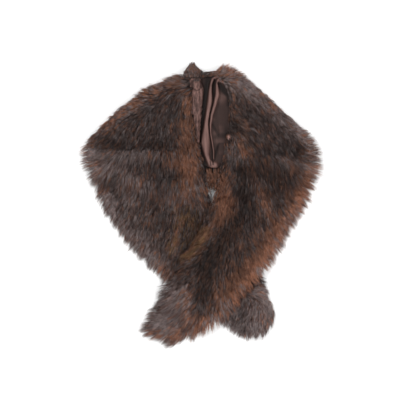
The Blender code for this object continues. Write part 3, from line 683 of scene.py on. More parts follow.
# What differs in the small patches of hair: the seed, how many times denser they are, and the sizes.
PATCHES = {
    "back_hem": {"Seed": 31, "Dense": 1.6},
    "back_neck": {"Seed": 32, "Dense": 3.6, "Rise": 0.002, "Lock Pull": 0.05},
    "corner": {"Seed": 41, "Dense": 2.2, "Stray": 0.25, "Lock Size": 0.003, "Width": 0.0006},
    "thread_ends": {"Seed": 51, "Dense": 8.0, "Stray": 2.6, "Rise": 0.005, "Lock Pull": 0.0},
}

# How the hairs of a bed differ. A hair's length: the longest one's, and how much shorter locks may be.
HAIR_LONGEST = 1.15
LOCK_SHORTER = 0.3
# Its rise: the least, what its lock and its own chance add, and how fast it grows with the coat's length.
RISE_LEAST = 0.15
RISE_OF_LOCK = 0.6
RISE_OF_HAIR = 0.4
RISE_OF_COAT = 1.3
# It rises steeply at its root and bends down again towards its tip.
LIFT_START = 3.5
LIFT_BEND = -3.0
# How its tip leans to the lock's middle, how far it bows aside, and its turn beside its lock's.
LEAN_POWER = 1.3
BOW = 0.2
TURN_OF_HAIR = 0.5
# Its width: the least, and what chance adds.
THICK_LEAST = 0.35
THICK_VARIES = 0.3
LOCK_SEED_STEP = 71

# The colour chart has a column for each kind of hair. A hair strays a little to each side of its column,
# and so do the points around it.
# The third kind is both grey hair and painted sheen: drawn grey where dark hairs would catch the light.
KINDS = {"dark": 0.125, "rust": 0.375, "grey": 0.625, "gold": 0.875}
KIND_VARIES = 0.12
AROUND = 0.006
AROUND_X = 0.3
# This share of the hairs takes its kind from its lock.
ALIKE_IN_LOCK = 0.65
# Patches over several locks: how close they lie, and how much they change the rust and the brightness.
MOTTLE_SCALE = 45.0
MOTTLE_RUST = 0.7
MOTTLE_LIGHT = 0.3
LIGHT_OF_LOCK = 0.36
LIGHT_OF_HAIR = 0.34
# Up the chart: where a dull hair's root is, and what its brightness and the way to its tip add. The way to
# the tip adds painted shade: each hair is darker at its root, deep in the fur.
CHART_START = 0.02
CHART_GLOW = 0.70
CHART_ALONG = 0.26
# The colour map that the chart's places are kept in, and how bright the hair is up the chart.
CHART = "OFBake"
BRIGHTNESS = ((0.0, 0.16), (0.2, 0.30), (0.4, 0.62), (0.6, 1.20), (0.8, 2.0), (1.0, 3.0))
# What the finished hair no longer needs.
TEMPORARY = ("lay", "cover", "coat", "rust", "grey", "gold", "light", "to_lock", "lock", "hair", "root",
             "outward", "shape")

# How strong the satin's colour is at each shade.
SATIN_SHADES = ((0.0, 0.04), (0.5, 0.42), (1.0, 0.92))

# The stage: the floor's half side and its tones, soft lights that point at the middle, and a camera
# straight above that sees this width at this height over the floor.
FLOOR_HALF = 4.0
FLOOR_TONES = (0.93, 0.95)
SoftLight = namedtuple("SoftLight", "name at size power")
LIGHTS = (
    SoftLight("key", (-0.9, 0.9, 1.9), 1.6, 34.0),
    SoftLight("fill", (1.2, -0.2, 1.7), 1.8, 20.0),
    SoftLight("low", (0.0, -1.5, 1.4), 1.6, 12.0),
)
WORLD_LIGHT = 0.55
CAMERA_AT = (0.0095, -0.0032, 2.4)
SENSOR_WIDTH = 36.0
VIEW_WIDTH = 0.861
VIEW_HEIGHT = 0.015


def between(rows, place):
    """The row at a place between the rows of a table, on a smooth curve through all of them."""
    last = len(rows) - 1
    index = min(int(place), last - 1)
    t = place - index
    before, here = rows[max(index - 1, 0)], rows[index]
    there, after = rows[index + 1], rows[min(index + 2, last)]
    values = [
        0.5 * (2 * b + (c - a) * t + (2 * a - 5 * b + 4 * c - d) * t**2 + (3 * b - a - 3 * c + d) * t**3)
        for a, b, c, d in zip(before, here, there, after)
    ]
    return type(here)(*values)


def places(first, last, steps):
    """Even places from one row to another."""
    count = max(round((last - first) * steps), 1)
    return [first + (last - first) * i / count for i in range(count + 1)]


def soft_step(x):
    """0 below 0, 1 above 1 and a soft step between."""
    x = max(0.0, min(1.0, x))
    return x * x * (3 - 2 * x)


def ramp(x, start, end):
    """0 at the start, 1 at the end and a soft step between. The end may be less than the start."""
    return soft_step((x - start) / (end - start))


def across(section, share):
    """The plan point at a share of the way from the neck edge to the hem."""
    neck = Vector((section.neck_x, section.neck_y))
    mid = Vector((section.mid_x, section.mid_y))
    hem = Vector((section.hem_x, section.hem_y))
    bend = 2 * mid - (neck + hem) / 2
    return neck * (1 - share) ** 2 + bend * 2 * share * (1 - share) + hem * share**2


def distance_to_line(point, start, end):
    """The distance from a plan point to a line with two ends."""
    along = end - start
    share = max(0.0, min(1.0, (point - start).dot(along) / along.length_squared))
    return (point - start - along * share).length


def distance_outside(point, outline):
    """How far a plan point lies outside a closed outline, or 0 inside it."""
    inside = False
    nearest = math.inf
    for start, end in zip(outline, outline[1:] + outline[:1]):
        nearest = min(nearest, distance_to_line(point, start, end))
        if (start.y > point.y) != (end.y > point.y):
            crossing = start.x + (point.y - start.y) * (end.x - start.x) / (end.y - start.y)
            inside ^= point.x < crossing
    return 0.0 if inside else nearest


def slope_down(distance):
    """1 on a lower layer and just past its edge, then a soft slope to 0."""
    return 1 - soft_step((distance - REACH_PAST_EDGE) / SLOPE_LENGTH)


def round_end_rise(point, margin=0.0):
    """How much higher the filled, round end of the left front stands than its plain wall."""
    x = (point - ROUND_END).length / (ROUND_END_RADIUS + margin)
    return ROUND_END_RISE * max(0.0, 1 - x * x)


def fold_rise(point):
    """The height of the creases and ridges at a plan point."""
    rise = 0.0
    for fold in FOLDS:
        start, end = Vector((fold.start_x, fold.start_y)), Vector((fold.end_x, fold.end_y))
        x = distance_to_line(point, start, end) / fold.spread
        rise += fold.rise * math.exp(-x * x)
    return rise


def band_outline(rows, first, last):
    """The closed plan outline of a stretch of a band."""
    sections = [between(rows, p) for p in places(first, last, 2)]
    neck = [Vector((s.neck_x, s.neck_y)) for s in sections]
    hem = [Vector((s.hem_x, s.hem_y)) for s in sections]
    return neck + hem[::-1]


def back_outline():
    """The outline of everything that lies under the fronts, from one shoulder fold to the other."""
    shares = [i / 8 for i in range(9)]
    left_fold = [across(LEFT_ROWS[0], s) for s in shares]
    right_fold = [across(RIGHT_ROWS[0], s) for s in reversed(shares)]
    hem = [Vector((s.hem_x, s.hem_y)) for s in BACK_ROWS]
    return left_fold + hem + right_fold


BACK_OUTLINE = back_outline()
LEFT_CROSSING = band_outline(LEFT_ROWS, 8, len(LEFT_ROWS) - 1)


def under_left(point):
    """The skin side of the left front: on the back's lining, then down to the surface."""
    return FRONT_ON_BACK * slope_down(distance_outside(point, BACK_OUTLINE))


def under_right(point):
    """The skin side of the right front: on the lining, across the left front, then down."""
    on_back = under_left(point)
    on_left = FRONT_ON_FRONT * slope_down(distance_outside(point, LEFT_CROSSING))
    return max(on_back, on_left + round_end_rise(point, ROUND_END_MARGIN))


# One spot of a pelt: its point on the fur side, which row it is on, and how far in it lies.
Spot = namedtuple("Spot", "point place from_neck from_hem side turned")


def neck_inset(side, place):
    """How far in from the frame's neck edge the skin stops. Past the crossing the edge is a free one."""
    if side == "back":
        return NECK_INSET
    return NECK_INSET + (FREE_EDGE_INSETS[side] - NECK_INSET) * ramp(place, *FREE_EDGE_ROWS[side])


def hem_inset(side, place):
    """How far in from the frame's hem the skin stops at a row."""
    extra = 0.0
    for start, end in zip(HEM_CHANGES[side], HEM_CHANGES[side][1:]):
        if place >= start[0]:
            share = min((place - start[0]) / (end[0] - start[0]), 1.0)
            extra = start[1] + (end[1] - start[1]) * share
    return HEM_INSET + extra


def stations(section, side, place):
    """Stations across a section, closer together near the two edges: each has its share of the way, its
    share of the wall, and its distances from the frame's neck edge and hem."""
    width = math.hypot(section.hem_x - section.neck_x, section.hem_y - section.neck_y)
    first = min(neck_inset(side, place) / width, MOST_NECK_INSET)
    last = 1 - min(hem_inset(side, place) / width, MOST_HEM_INSET)
    count = HIDE_STATIONS - 1
    rows = []
    for i in range(count + 1):
        share = first + (last - first) * (0.5 - 0.5 * math.cos(math.pi * i / count))
        inward = min(share - first, last - share) * width
        x = max(0.0, min(inward / HIDE_EDGE, 1.0))
        thick = HIDE_EDGE_SHARE + (1 - HIDE_EDGE_SHARE) * math.sqrt(1 - (1 - x) ** 2)
        rows.append((share, thick, share * width, (1 - share) * width))
    return rows


def facing_support(side, place, from_neck):
    """1 where the satin strip lies on the left front, which is as thick as its frame there, 0 elsewhere."""
    if side != "left":
        return 0.0
    along = ramp(place, *FACING_BED_START) * ramp(place, *FACING_BED_END)
    return along * ramp(from_neck, *FACING_BED_REACH)


def front_ring(section, side, place):
    """The skin side and the fur side of a front, from neck edge to hem."""
    under = under_left if side == "left" else under_right
    skin, fur = [], []
    for share, thick, from_neck, from_hem in stations(section, side, place):
        point = across(section, share)
        foot = Vector((point.x, point.y, under(point)))
        wall = HIDE_WALL + fold_rise(point)
        wall += (FRONT_WALL - FACING_BED_GAP - HIDE_WALL) * facing_support(side, place, from_neck)
        if side == "left":
            wall += round_end_rise(point)
        skin.append(foot)
        fur.append(Spot(foot + UP * wall * thick, place, from_neck, from_hem, side, 1.0))
    return skin, fur


def back_ring(section, side, place):
    """The skin side and the fur side of a stretch that lies fur down."""
    skin, fur = [], []
    for share, thick, from_neck, from_hem in stations(section, side, place):
        point = across(section, share)
        foot = Vector((point.x, point.y, BACK_WALL))
        skin.append(foot)
        fur.append(Spot(foot - UP * HIDE_WALL * thick, place, from_neck, from_hem, side, 0.0))
    return skin, fur


def turn_ring(section, side, turn):
    """A ring of a shoulder fold. The turn goes from 0, fur down, to a half circle, fur up."""
    chord = Vector((section.hem_x - section.neck_x, section.hem_y - section.neck_y, 0.0))
    outward = chord.cross(UP).normalized()
    if outward.y < 0:
        outward = -outward
    facing = outward * math.sin(turn) - UP * math.cos(turn)
    skin, fur = [], []
    for share, thick, from_neck, from_hem in stations(section, side, 0.0):
        point = across(section, share)
        foot = Vector((point.x, point.y, TURN_HEIGHT)) + facing * TURN_INNER
        skin.append(foot)
        height = HIDE_WALL * thick
        fur.append(Spot(foot + facing * height, 0.0, from_neck, from_hem, side, turn / math.pi))
    return skin, fur


def pelt_rings(pelt):
    """A pelt's rings, each a row on the skin side and one on the fur side."""
    if pelt.side == "back":
        return [back_ring(between(BACK_ROWS, p), "back", p) for p in places(pelt.first, pelt.last, 8)]
    rows = LEFT_ROWS if pelt.side == "left" else RIGHT_ROWS
    rings = []
    front = places(pelt.first, pelt.last, HIDE_STEPS)
    if pelt.first == 0:
        back = BACK_ROWS[0] if pelt.side == "left" else BACK_ROWS[-1]
        rings.append(back_ring(back, pelt.side, 0.0))
        for i in range(TURN_STEPS + 1):
            rings.append(turn_ring(rows[0], pelt.side, math.pi * i / TURN_STEPS))
        front = front[1:]
    rings += [front_ring(between(rows, p), pelt.side, p) for p in front]
    return rings


def lay_at(x, y, lays):
    """The heading of the hair at a plan point, as a direction blended from the spots around it."""
    east = north = 0.0
    for lay in lays:
        weight = 1 / ((x - lay.x) ** 2 + (y - lay.y) ** 2 + LAY_BLEND**2) ** LAY_FALL
        east += weight * math.cos(math.radians(lay.heading))
        north += weight * math.sin(math.radians(lay.heading))
    return Vector((east, north, 0.0)).normalized()


def tint_and_light_at(point, base, tints, rim):
    """The shares of rust, grey and gold hairs and the brightness at a plan point. The brightness holds
    painted shade and highlights as well as the fur's own tone.
    """
    values = [base.rust + RIM_RUST * rim, base.grey, base.gold, base.light + RIM_LIGHT * rim]
    for tone_stroke in tints:
        start, end = Vector((tone_stroke.start_x, tone_stroke.start_y)), Vector((tone_stroke.end_x, tone_stroke.end_y))
        x = distance_to_line(point, start, end) / tone_stroke.reach
        weight = math.exp(-x * x)
        values = [v + weight * added for v, added in zip(values, tone_stroke[5:])]
    return [max(0.0, min(1.0, v)) for v in values]


def rim_at(spot):
    """1 for hair at the hem or on a shoulder's turn, down to 0 further in."""
    if spot.side in SHORT_COATS:
        return 0.0
    from_end = 1 - soft_step((spot.from_hem - HEM_INSET) / RIM_REACH)
    return max(from_end, 1.0 - spot.turned) if spot.turned > RIM_TURN else 1.0


def facing_width(place):
    """The satin strip's width at a row of the left front."""
    for start, end in zip(FACING_ROWS, FACING_ROWS[1:]):
        if place <= end.row:
            share = max(0.0, place - start.row) / (end.row - start.row)
            return start.width + (end.width - start.width) * share
    return 0.0


def facing_lean(place):
    """How far the strip leans out over the slit at a row of the left front."""
    return FACING_LEAN * (1 - ramp(place, *FACING_LEAN_ROWS))


def cover_at(spot):
    """How dense the long hair is: none under the satin strip, thin where the fur lies underneath."""
    thin = UNDER_COVER + (1 - UNDER_COVER) * ramp(spot.turned, *UNDER_COVER_TURN)
    from_gap = (spot.point.to_2d() - GAP_MIDDLE).length
    if spot.side in ("left", "right"):
        thin *= 1 - GAP_THIN * math.exp(-((from_gap / GAP_RADIUS) ** 2))
    if spot.side != "left":
        return thin
    from_corner = (spot.point.to_2d() - CORNER_MIDDLE).length
    if spot.point.y > CORNER_ROWS[0].right_y:
        thin *= soft_step((from_corner - CORNER_RADIUS) / HAIR_LINE)
    if not 0 < spot.place < FACING_ROWS[-1].row:
        return thin
    edge = facing_width(spot.place) - facing_lean(spot.place) - FACING_OVERHANG
    return thin * soft_step((spot.from_neck - edge) / HAIR_LINE)


def coat_at(spot):
    """How long the hair is, as a share of the full length."""
    if spot.side in SHORT_COATS:
        return SHORT_COATS[spot.side]
    beside_slit = ramp(spot.place, *SLIT_END_ROWS[spot.side]) * (1 - soft_step(spot.from_neck / SLIT_REACH))
    length = 1 - SLIT_SHORTER * beside_slit
    if spot.side == "left":
        length *= 1 - BALL_SHORTER * ramp(spot.place, *BALL_ROWS)
    if spot.place < SHOULDER_END_ROW:
        length *= 1 - SHOULDER_SHORTER
    if spot.side == "right":
        beside_top = ramp(spot.place, *SLIT_TOP_ROWS) * (1 - soft_step(spot.from_neck / SLIT_TOP_REACH))
        length *= 1 - SLIT_TOP_SHORTER * beside_top
    return length * (UNDER_LENGTH + (1 - UNDER_LENGTH) * soft_step(spot.turned * 2 - 1))


def smooth_mesh(mesh):
    mesh.shade_smooth()
    mesh.set_sharp_from_angle(angle=math.radians(60))


def new_piece(name, data):
    """A new object in the scene, with its mesh, light or camera."""
    piece = bpy.data.objects.new(name, data)
    bpy.context.scene.collection.objects.link(piece)
    return piece


def closed_loft(name, rings):
    """A closed body through rings, each a row on the skin side and one on the other side.

    Faces of the skin side take the second material.
    """
    work = bmesh.new()
    loops = []
    for skin, fur in rings:
        loops.append([work.verts.new(p) for p in skin + fur[::-1]])
    count = len(loops[0])
    half = count // 2
    for loop, following in zip(loops, loops[1:]):
        for i in range(count):
            j = (i + 1) % count
            face = work.faces.new((loop[i], loop[j], following[j], following[i]))
            face.material_index = 1 if i < half - 1 else 0
    for loop in (loops[0], loops[-1]):
        for i in range(half - 1):
            work.faces.new((loop[i], loop[i + 1], loop[count - 2 - i], loop[count - 1 - i]))
    bmesh.ops.recalc_face_normals(work, faces=work.faces)
    mesh = bpy.data.meshes.new(name)
    work.to_mesh(mesh)
    work.free()
    smooth_mesh(mesh)
    return new_piece(name, mesh)


def hair_bed(name, spot_rows, faces_up):
    """The open surface that the hair grows on, with the hair's lay, length, cover and colours, the colours
    with their painted shade and highlights.
    """
    mesh = bpy.data.meshes.new(name)
    count = len(spot_rows[0])
    spots = [spot for row in spot_rows for spot in row]
    faces = []
    for r in range(len(spot_rows) - 1):
        for i in range(count - 1):
            a = r * count + i
            faces.append((a, a + 1, a + count + 1, a + count))
    mesh.from_pydata([s.point for s in spots], [], faces)
    mesh.validate()
    if (sum(face.normal.z for face in mesh.polygons) > 0) != faces_up:
        mesh.flip_normals()
    lays, values = [], []
    for spot in spots:
        look = LOOKS[spot.side]
        lay, coat = lay_at(spot.point.x, spot.point.y, look.lays), coat_at(spot)
        shown = (spot.point + lay * coat * SHOWN_ALONG).to_2d()
        lays.extend(lay)
        values.append([cover_at(spot), coat, *tint_and_light_at(shown, look.base, look.tints, rim_at(spot))])
    mesh.attributes.new("lay", "FLOAT_VECTOR", "POINT").data.foreach_set("vector", lays)
    for key, numbers in zip(("cover", "coat", "rust", "grey", "gold", "light"), zip(*values)):
        mesh.attributes.new(key, "FLOAT", "POINT").data.foreach_set("value", numbers)
    return new_piece(name, mesh)


def trace_at(point, trace):
    """How much a plan point lies on a trace, from 0 to 1, and the trace's strength there."""
    best, found = 0.0, 0.0
    for start, end in zip(trace, trace[1:]):
        a, b = Vector((start.x, start.y)), Vector((end.x, end.y))
        along = b - a
        share = max(0.0, min(1.0, (point - a).dot(along) / along.length_squared))
        distance = (point - a - along * share).length
        half = start.half_width + (end.half_width - start.half_width) * share
        inside = 1 / (1 + (distance / half) ** 6)
        if inside > best:
            best, found = inside, start.amount + (end.amount - start.amount) * share
    return best, found


def darkened(shade, point, hollows):
    for hollow in hollows:
        inside, strength = trace_at(point, hollow)
        shade *= 1 - inside * strength
    return shade


def crumpled(point, crumple):
    """How high a crumple is at a plan point, from -1 to 1."""
    return noise.noise(Vector((point.x * crumple.across, point.y * crumple.along, crumple.layer)))


def lining_spot(x, y):
    """The lining's height over the back and its shade at a plan point."""
    point = Vector((x, y))
    height, shade = 0.0, LINING_SHADE
    for crest, crest_shade in zip(LINING_CRESTS, CREST_SHADES):
        inside, top = trace_at(point, crest)
        height = max(height, inside * top)
        shade += (crest_shade - shade) * inside
    for shine in LINING_SHINES:
        distance = (point - Vector((shine.x, shine.y))).length
        shade += shine.shade * math.exp(-((distance / shine.reach) ** 2))
    pleat = crumpled(point, LINING_PLEAT)
    shade *= 1 + LINING_PLEAT.shade * pleat
    height += LINING_PLEAT.height * pleat * (PLEAT_ON_FLAT + min(height / PLEAT_FULL_HEIGHT, 1.0))
    ends = ramp(y, *LINING_HEM_END) * ramp(y, *LINING_NECK_END)
    return max(height, 0.0) * ends, max(0.0, min(1.0, darkened(shade, point, LINING_HOLLOWS)))


def facing_spot(row, width, share):
    """A point of the satin strip, from the slit over the left front's neck edge, and its shade."""
    section = between(LEFT_ROWS, row)
    span = math.hypot(section.hem_x - section.neck_x, section.hem_y - section.neck_y)
    ragged = 1 + FACING_RAGGED * noise.noise(Vector((row * FACING_RAGGED_WAVES, 0.0, 7.0)))
    notch = FACING_NOTCH * noise.noise(Vector((row * FACING_NOTCH_WAVES, 4.0, 2.0)))
    from_neck = width * ragged * share + notch * (1 - share) + FACING_START
    point = across(section, (from_neck - facing_lean(row)) / span)
    x = min(from_neck / FACING_EDGE, 1.0)
    rounded = FACING_EDGE_HEIGHT + (1 - FACING_EDGE_HEIGHT) * math.sqrt(max(0.0, 1 - (1 - x) ** 2))
    inside = 1 - darkened(1.0, point, FACING_HOLLOWS)
    height = FRONT_WALL * rounded + FACING_GAP - FACING_HOLLOW_DEPTH * inside
    height -= FACING_TUCK * ramp(share, *FACING_TUCK_SHARES)
    light = 1.0
    for crumple in FACING_CRUMPLES:
        bump = crumpled(point, crumple)
        height += crumple.height * bump
        light += crumple.shade * bump
    shade = FACING_SHADE * light * (1 - FACING_HOLLOW_SHADE * inside)
    shade *= 1 - FACING_DIM * ramp(share, *FACING_DIM_SHARES) * ramp(row, *FACING_DIM_ROWS)
    shade *= FACING_EDGE_SHADE + (1 - FACING_EDGE_SHADE) * rounded
    top = Vector((point.x, point.y, under_left(point) + max(height, FACING_LEAST_HEIGHT)))
    return top, max(FACING_DARKEST, min(1.0, shade))


def satin_sheet(name, grid, material, wall):
    """A satin surface from rows of points and shades, thickened downwards."""
    mesh = bpy.data.meshes.new(name)
    count = len(grid[0])
    cells = [(r * count + i) for r in range(len(grid) - 1) for i in range(count - 1)]
    faces = [(a, a + 1, a + count + 1, a + count) for a in cells]
    mesh.from_pydata([point for row in grid for point, _ in row], [], faces)
    if sum(face.normal.z for face in mesh.polygons) < 0:
        mesh.flip_normals()
    shade = mesh.attributes.new("shade", "FLOAT", "POINT")
    shade.data.foreach_set("value", [value for row in grid for _, value in row])
    mesh.shade_smooth()
    mesh.materials.append(material)
    piece = new_piece(name, mesh)
    thick = piece.modifiers.new("wall", "SOLIDIFY")
    thick.thickness = wall
    thick.offset = -1.0
    return piece


def lining_grid():
    """Rows down the back. They are close together where the lining shows in the slit."""
    grid = []
    for index, count in enumerate(LINING_STEPS):
        start, end = LINING_ROWS[index], LINING_ROWS[index + 1]
        for i in range(count + (index == len(LINING_STEPS) - 1)):
            row = [a + (b - a) * i / count for a, b in zip(start, end)]
            neck, hem = Vector(row[:2]), Vector(row[2:])
            line = []
            for j in range(LINING_STATIONS + 1):
                point = neck.lerp(hem, j / LINING_STATIONS)
                height, shade = lining_spot(point.x, point.y)
                line.append((Vector((point.x, point.y, BACK_WALL + SEAM + LINING_WALL + height)), shade))
            grid.append(line)
    return grid


def covered_area(bed):
    """The bed's area, counted by how dense its hair is."""
    cover = bed.data.attributes["cover"].data
    total = 0.0
    for face in bed.data.polygons:
        share = sum(cover[v].value for v in face.vertices) / len(face.vertices)
        total += face.area * share
    return total


class NodeTree:
    """Adds nodes to a tree and joins them, so that a tree can be written as a list of steps."""

    def __init__(self, tree):
        self.tree = tree

    def add(self, kind, values=(), **settings):
        node = self.tree.nodes.new(kind)
        for key, value in settings.items():
            setattr(node, key, value)
        for key, value in dict(values).items():
            self.put(node.inputs[key], value)
        return node

    def put(self, socket, value):
        if isinstance(value, bpy.types.NodeSocket):
            self.tree.links.new(value, socket)
        else:
            socket.default_value = value

    def math(self, operation, *values):
        return self.add("ShaderNodeMath", enumerate(values), operation=operation).outputs[0]

    def vector(self, operation, *values):
        node = self.add("ShaderNodeVectorMath", enumerate(values), operation=operation)
        return node.outputs["Value" if operation in ("DOT_PRODUCT", "LENGTH") else "Vector"]

    def scaled(self, vector, factor):
        return self.add("ShaderNodeVectorMath", {0: vector, "Scale": factor}, operation="SCALE").outputs[0]

    def joined(self, x, y, z):
        return self.add("ShaderNodeCombineXYZ", {0: x, 1: y, 2: z}).outputs[0]

    def parts(self, vector):
        return self.add("ShaderNodeSeparateXYZ", {0: vector}).outputs

    def plus(self, start, factor, amount):
        """The start and, on top, the factor's share of the amount."""
        return self.math("MULTIPLY_ADD", factor, amount, start)

    def to_sides(self, chance):
        """A chance from 0 to 1 moved to either side of 0."""
        return self.math("SUBTRACT", chance, 0.5)

    def tones(self, factor, *stops):
        """A factor turned into a colour, from stops that are each a place and a colour."""
        node = self.add("ShaderNodeValToRGB", {0: factor})
        elements = node.color_ramp.elements
        elements[0].position, elements[0].color = stops[0]
        elements[1].position, elements[1].color = stops[-1]
        for place, tone in stops[1:-1]:
            elements.new(place).color = tone
        return node.outputs[0]

    def named(self, name, kind="FLOAT"):
        """An attribute that an earlier step stored."""
        return self.add("GeometryNodeInputNamedAttribute", {"Name": name}, data_type=kind).outputs[0]

    def stored(self, geometry, name, value, kind="FLOAT", domain="POINT"):
        """The geometry with an attribute added."""
        values = {"Geometry": geometry, "Name": name, "Value": value}
        return self.add("GeometryNodeStoreNamedAttribute", values, data_type=kind, domain=domain).outputs[0]

    def chance(self, identity, seed):
        """A random number from 0 to 1, the same for all that share an identity."""
        return self.add("FunctionNodeRandomValue", {"ID": identity, "Seed": seed}).outputs[1]


def new_tree(name, sockets):
    """A geometry tree with named inputs: its builder, what it is given, and the node for its result."""
    tree = bpy.data.node_groups.new(name, "GeometryNodeTree")
    for title, kind, default in sockets:
        socket = tree.interface.new_socket(title, in_out="INPUT", socket_type="NodeSocket" + kind)
        if default is not None:
            socket.default_value = default
    tree.interface.new_socket("Geometry", in_out="OUTPUT", socket_type="NodeSocketGeometry")
    result = tree.nodes.new("NodeGroupOutput").inputs["Geometry"]
    return NodeTree(tree), tree.nodes.new("NodeGroupInput").outputs, result


def fur_roots(t, given):
    """Points on the bed, each with its root, its lock and the way to the middle of its lock."""
    density = t.math("MULTIPLY", given["Hairs per Area"], t.named("cover"))
    roots = t.add("GeometryNodeDistributePointsOnFaces",
                  {"Mesh": given["Geometry"], "Density": density, "Seed": given["Seed"]}).outputs
    lock_density = t.math("DIVIDE", 1.0, t.math("MULTIPLY", given["Lock Size"], given["Lock Size"]))
    lock_seed = t.math("ADD", given["Seed"], LOCK_SEED_STEP)
    locks = t.add("GeometryNodeDistributePointsOnFaces",
                  {"Mesh": given["Geometry"], "Density": lock_density, "Seed": lock_seed}).outputs["Points"]
    position = t.add("GeometryNodeInputPosition").outputs[0]
    index = t.add("GeometryNodeInputIndex").outputs[0]
    nearest = t.add("GeometryNodeSampleNearest", {0: locks, 1: position}, domain="POINT").outputs[0]
    middle = t.add("GeometryNodeSampleIndex", {"Geometry": locks, "Value": position, "Index": nearest},
                   data_type="FLOAT_VECTOR", domain="POINT").outputs[0]
    points = t.stored(roots["Points"], "to_lock", t.vector("SUBTRACT", middle, position), "FLOAT_VECTOR")
    points = t.stored(points, "lock", nearest, "INT")
    points = t.stored(points, "hair", index, "INT")
    points = t.stored(points, "root", position, "FLOAT_VECTOR")
    return t.stored(points, "outward", roots["Normal"], "FLOAT_VECTOR")


def hair_directions(t, given, hair, lock):
    """A hair's three directions: ahead, aside and over. Ahead is the lay, turned a little for each lock
    and each hair, and never into the skin."""
    turn_both = t.plus(t.to_sides(t.chance(lock, 3)), t.to_sides(t.chance(hair, 4)), TURN_OF_HAIR)
    turn = t.math("MULTIPLY", turn_both, given["Stray"])
    rotated = t.add("ShaderNodeVectorRotate", {"Vector": t.named("lay", "FLOAT_VECTOR"), "Angle": turn},
                    rotation_type="Z_AXIS").outputs[0]
    outward = t.named("outward", "FLOAT_VECTOR")
    into = t.math("MINIMUM", t.vector("DOT_PRODUCT", rotated, outward), 0.0)
    ahead = t.vector("NORMALIZE", t.vector("SUBTRACT", rotated, t.scaled(outward, into)))
    aside = t.vector("NORMALIZE", t.vector("CROSS_PRODUCT", tuple(UP), ahead))
    return ahead, aside, t.vector("CROSS_PRODUCT", ahead, aside)


def hair_place(t, given, hair, lock, shape, along):
    """Where each point of a hair goes: along the hair, up and down again, towards the middle of its lock
    and around its own middle line."""
    shape_x, shape_y, _ = shape
    coat = t.named("coat")
    ahead, aside, over = hair_directions(t, given, hair, lock)

    shorter = t.math("MULTIPLY", given["Uneven"], t.chance(hair, 5))
    shorter_lock = t.math("MULTIPLY", LOCK_SHORTER, t.chance(lock, 6))
    length = t.math("SUBTRACT", t.math("SUBTRACT", HAIR_LONGEST, shorter), shorter_lock)
    length = t.math("MULTIPLY", length, t.math("MULTIPLY", given["Length"], coat))

    rise = t.plus(t.plus(RISE_LEAST, t.chance(lock, 17), RISE_OF_LOCK), t.chance(hair, 7), RISE_OF_HAIR)
    rise = t.math("MULTIPLY", t.math("MULTIPLY", given["Rise"], rise),
                  t.math("MINIMUM", t.math("MULTIPLY", coat, RISE_OF_COAT), 1.0))
    lift = t.math("MULTIPLY", along, t.plus(LIFT_START, along, LIFT_BEND))
    lean = t.math("MULTIPLY", given["Lock Pull"], t.math("POWER", along, LEAN_POWER))
    bow = t.math("MULTIPLY", t.to_sides(t.chance(hair, 8)), BOW)
    bow = t.math("MULTIPLY", bow, t.math("MULTIPLY", along, t.math("SUBTRACT", 1.0, along)))
    thick = t.math("MULTIPLY", given["Width"], t.plus(THICK_LEAST, t.chance(hair, 9), THICK_VARIES))

    place = t.named("root", "FLOAT_VECTOR")
    for step in (
        t.scaled(ahead, t.math("MULTIPLY", along, length)),
        t.scaled(t.named("outward", "FLOAT_VECTOR"), t.math("MULTIPLY", lift, rise)),
        t.scaled(t.named("to_lock", "FLOAT_VECTOR"), lean),
        t.scaled(aside, t.plus(t.math("MULTIPLY", bow, length), shape_x, thick)),
        t.scaled(over, t.math("MULTIPLY", shape_y, thick)),
    ):
        place = t.vector("ADD", place, step)
    east, north, height = t.parts(place)
    return t.joined(east, north, t.math("MAXIMUM", height, given["Lowest"]))


def hair_chart(t, hair, lock, shape, along):
    """A hair's place on the colour chart: across it the kind of hair, and up it the brightness, from root
    to tip."""
    shape_x, shape_y, _ = shape
    mottle = t.add("ShaderNodeTexNoise", {"Vector": t.named("root", "FLOAT_VECTOR"), "Scale": MOTTLE_SCALE,
                                          "Detail": 2.0}).outputs
    patch_red, patch_light, _ = t.parts(mottle["Color"])

    from_lock = t.math("LESS_THAN", t.chance(hair, 10), ALIKE_IN_LOCK)
    own_kind, kind_of_lock = t.chance(hair, 11), t.chance(lock, 12)
    pick = t.add("ShaderNodeMix", {"Factor": from_lock, 2: own_kind, 3: kind_of_lock}).outputs[0]
    gold = t.named("gold")
    rust = t.plus(t.math("ADD", gold, t.named("rust")), t.to_sides(patch_red), MOTTLE_RUST)
    grey = t.math("ADD", rust, t.named("grey"))
    kind = t.plus(KINDS["dark"], t.math("LESS_THAN", pick, grey), KINDS["grey"] - KINDS["dark"])
    kind = t.plus(kind, t.math("LESS_THAN", pick, rust), KINDS["rust"] - KINDS["grey"])
    kind = t.plus(kind, t.math("LESS_THAN", pick, gold), KINDS["gold"] - KINDS["rust"])
    kind = t.plus(kind, t.to_sides(t.chance(hair, 13)), KIND_VARIES)
    around = t.math("MULTIPLY", t.plus(shape_y, shape_x, AROUND_X), AROUND)

    glow = t.plus(t.named("light"), t.to_sides(t.chance(lock, 14)), LIGHT_OF_LOCK)
    glow = t.plus(glow, t.to_sides(patch_light), MOTTLE_LIGHT)
    glow = t.plus(glow, t.to_sides(t.chance(hair, 15)), LIGHT_OF_HAIR)
    glow = t.add("ShaderNodeClamp", {"Value": glow}).outputs[0]
    # The root end of each hair is darker: painted shade deep in the fur.
    up_chart = t.plus(t.plus(CHART_START, along, CHART_ALONG), glow, CHART_GLOW)
    return t.joined(t.math("ADD", kind, around), up_chart, 0.0)


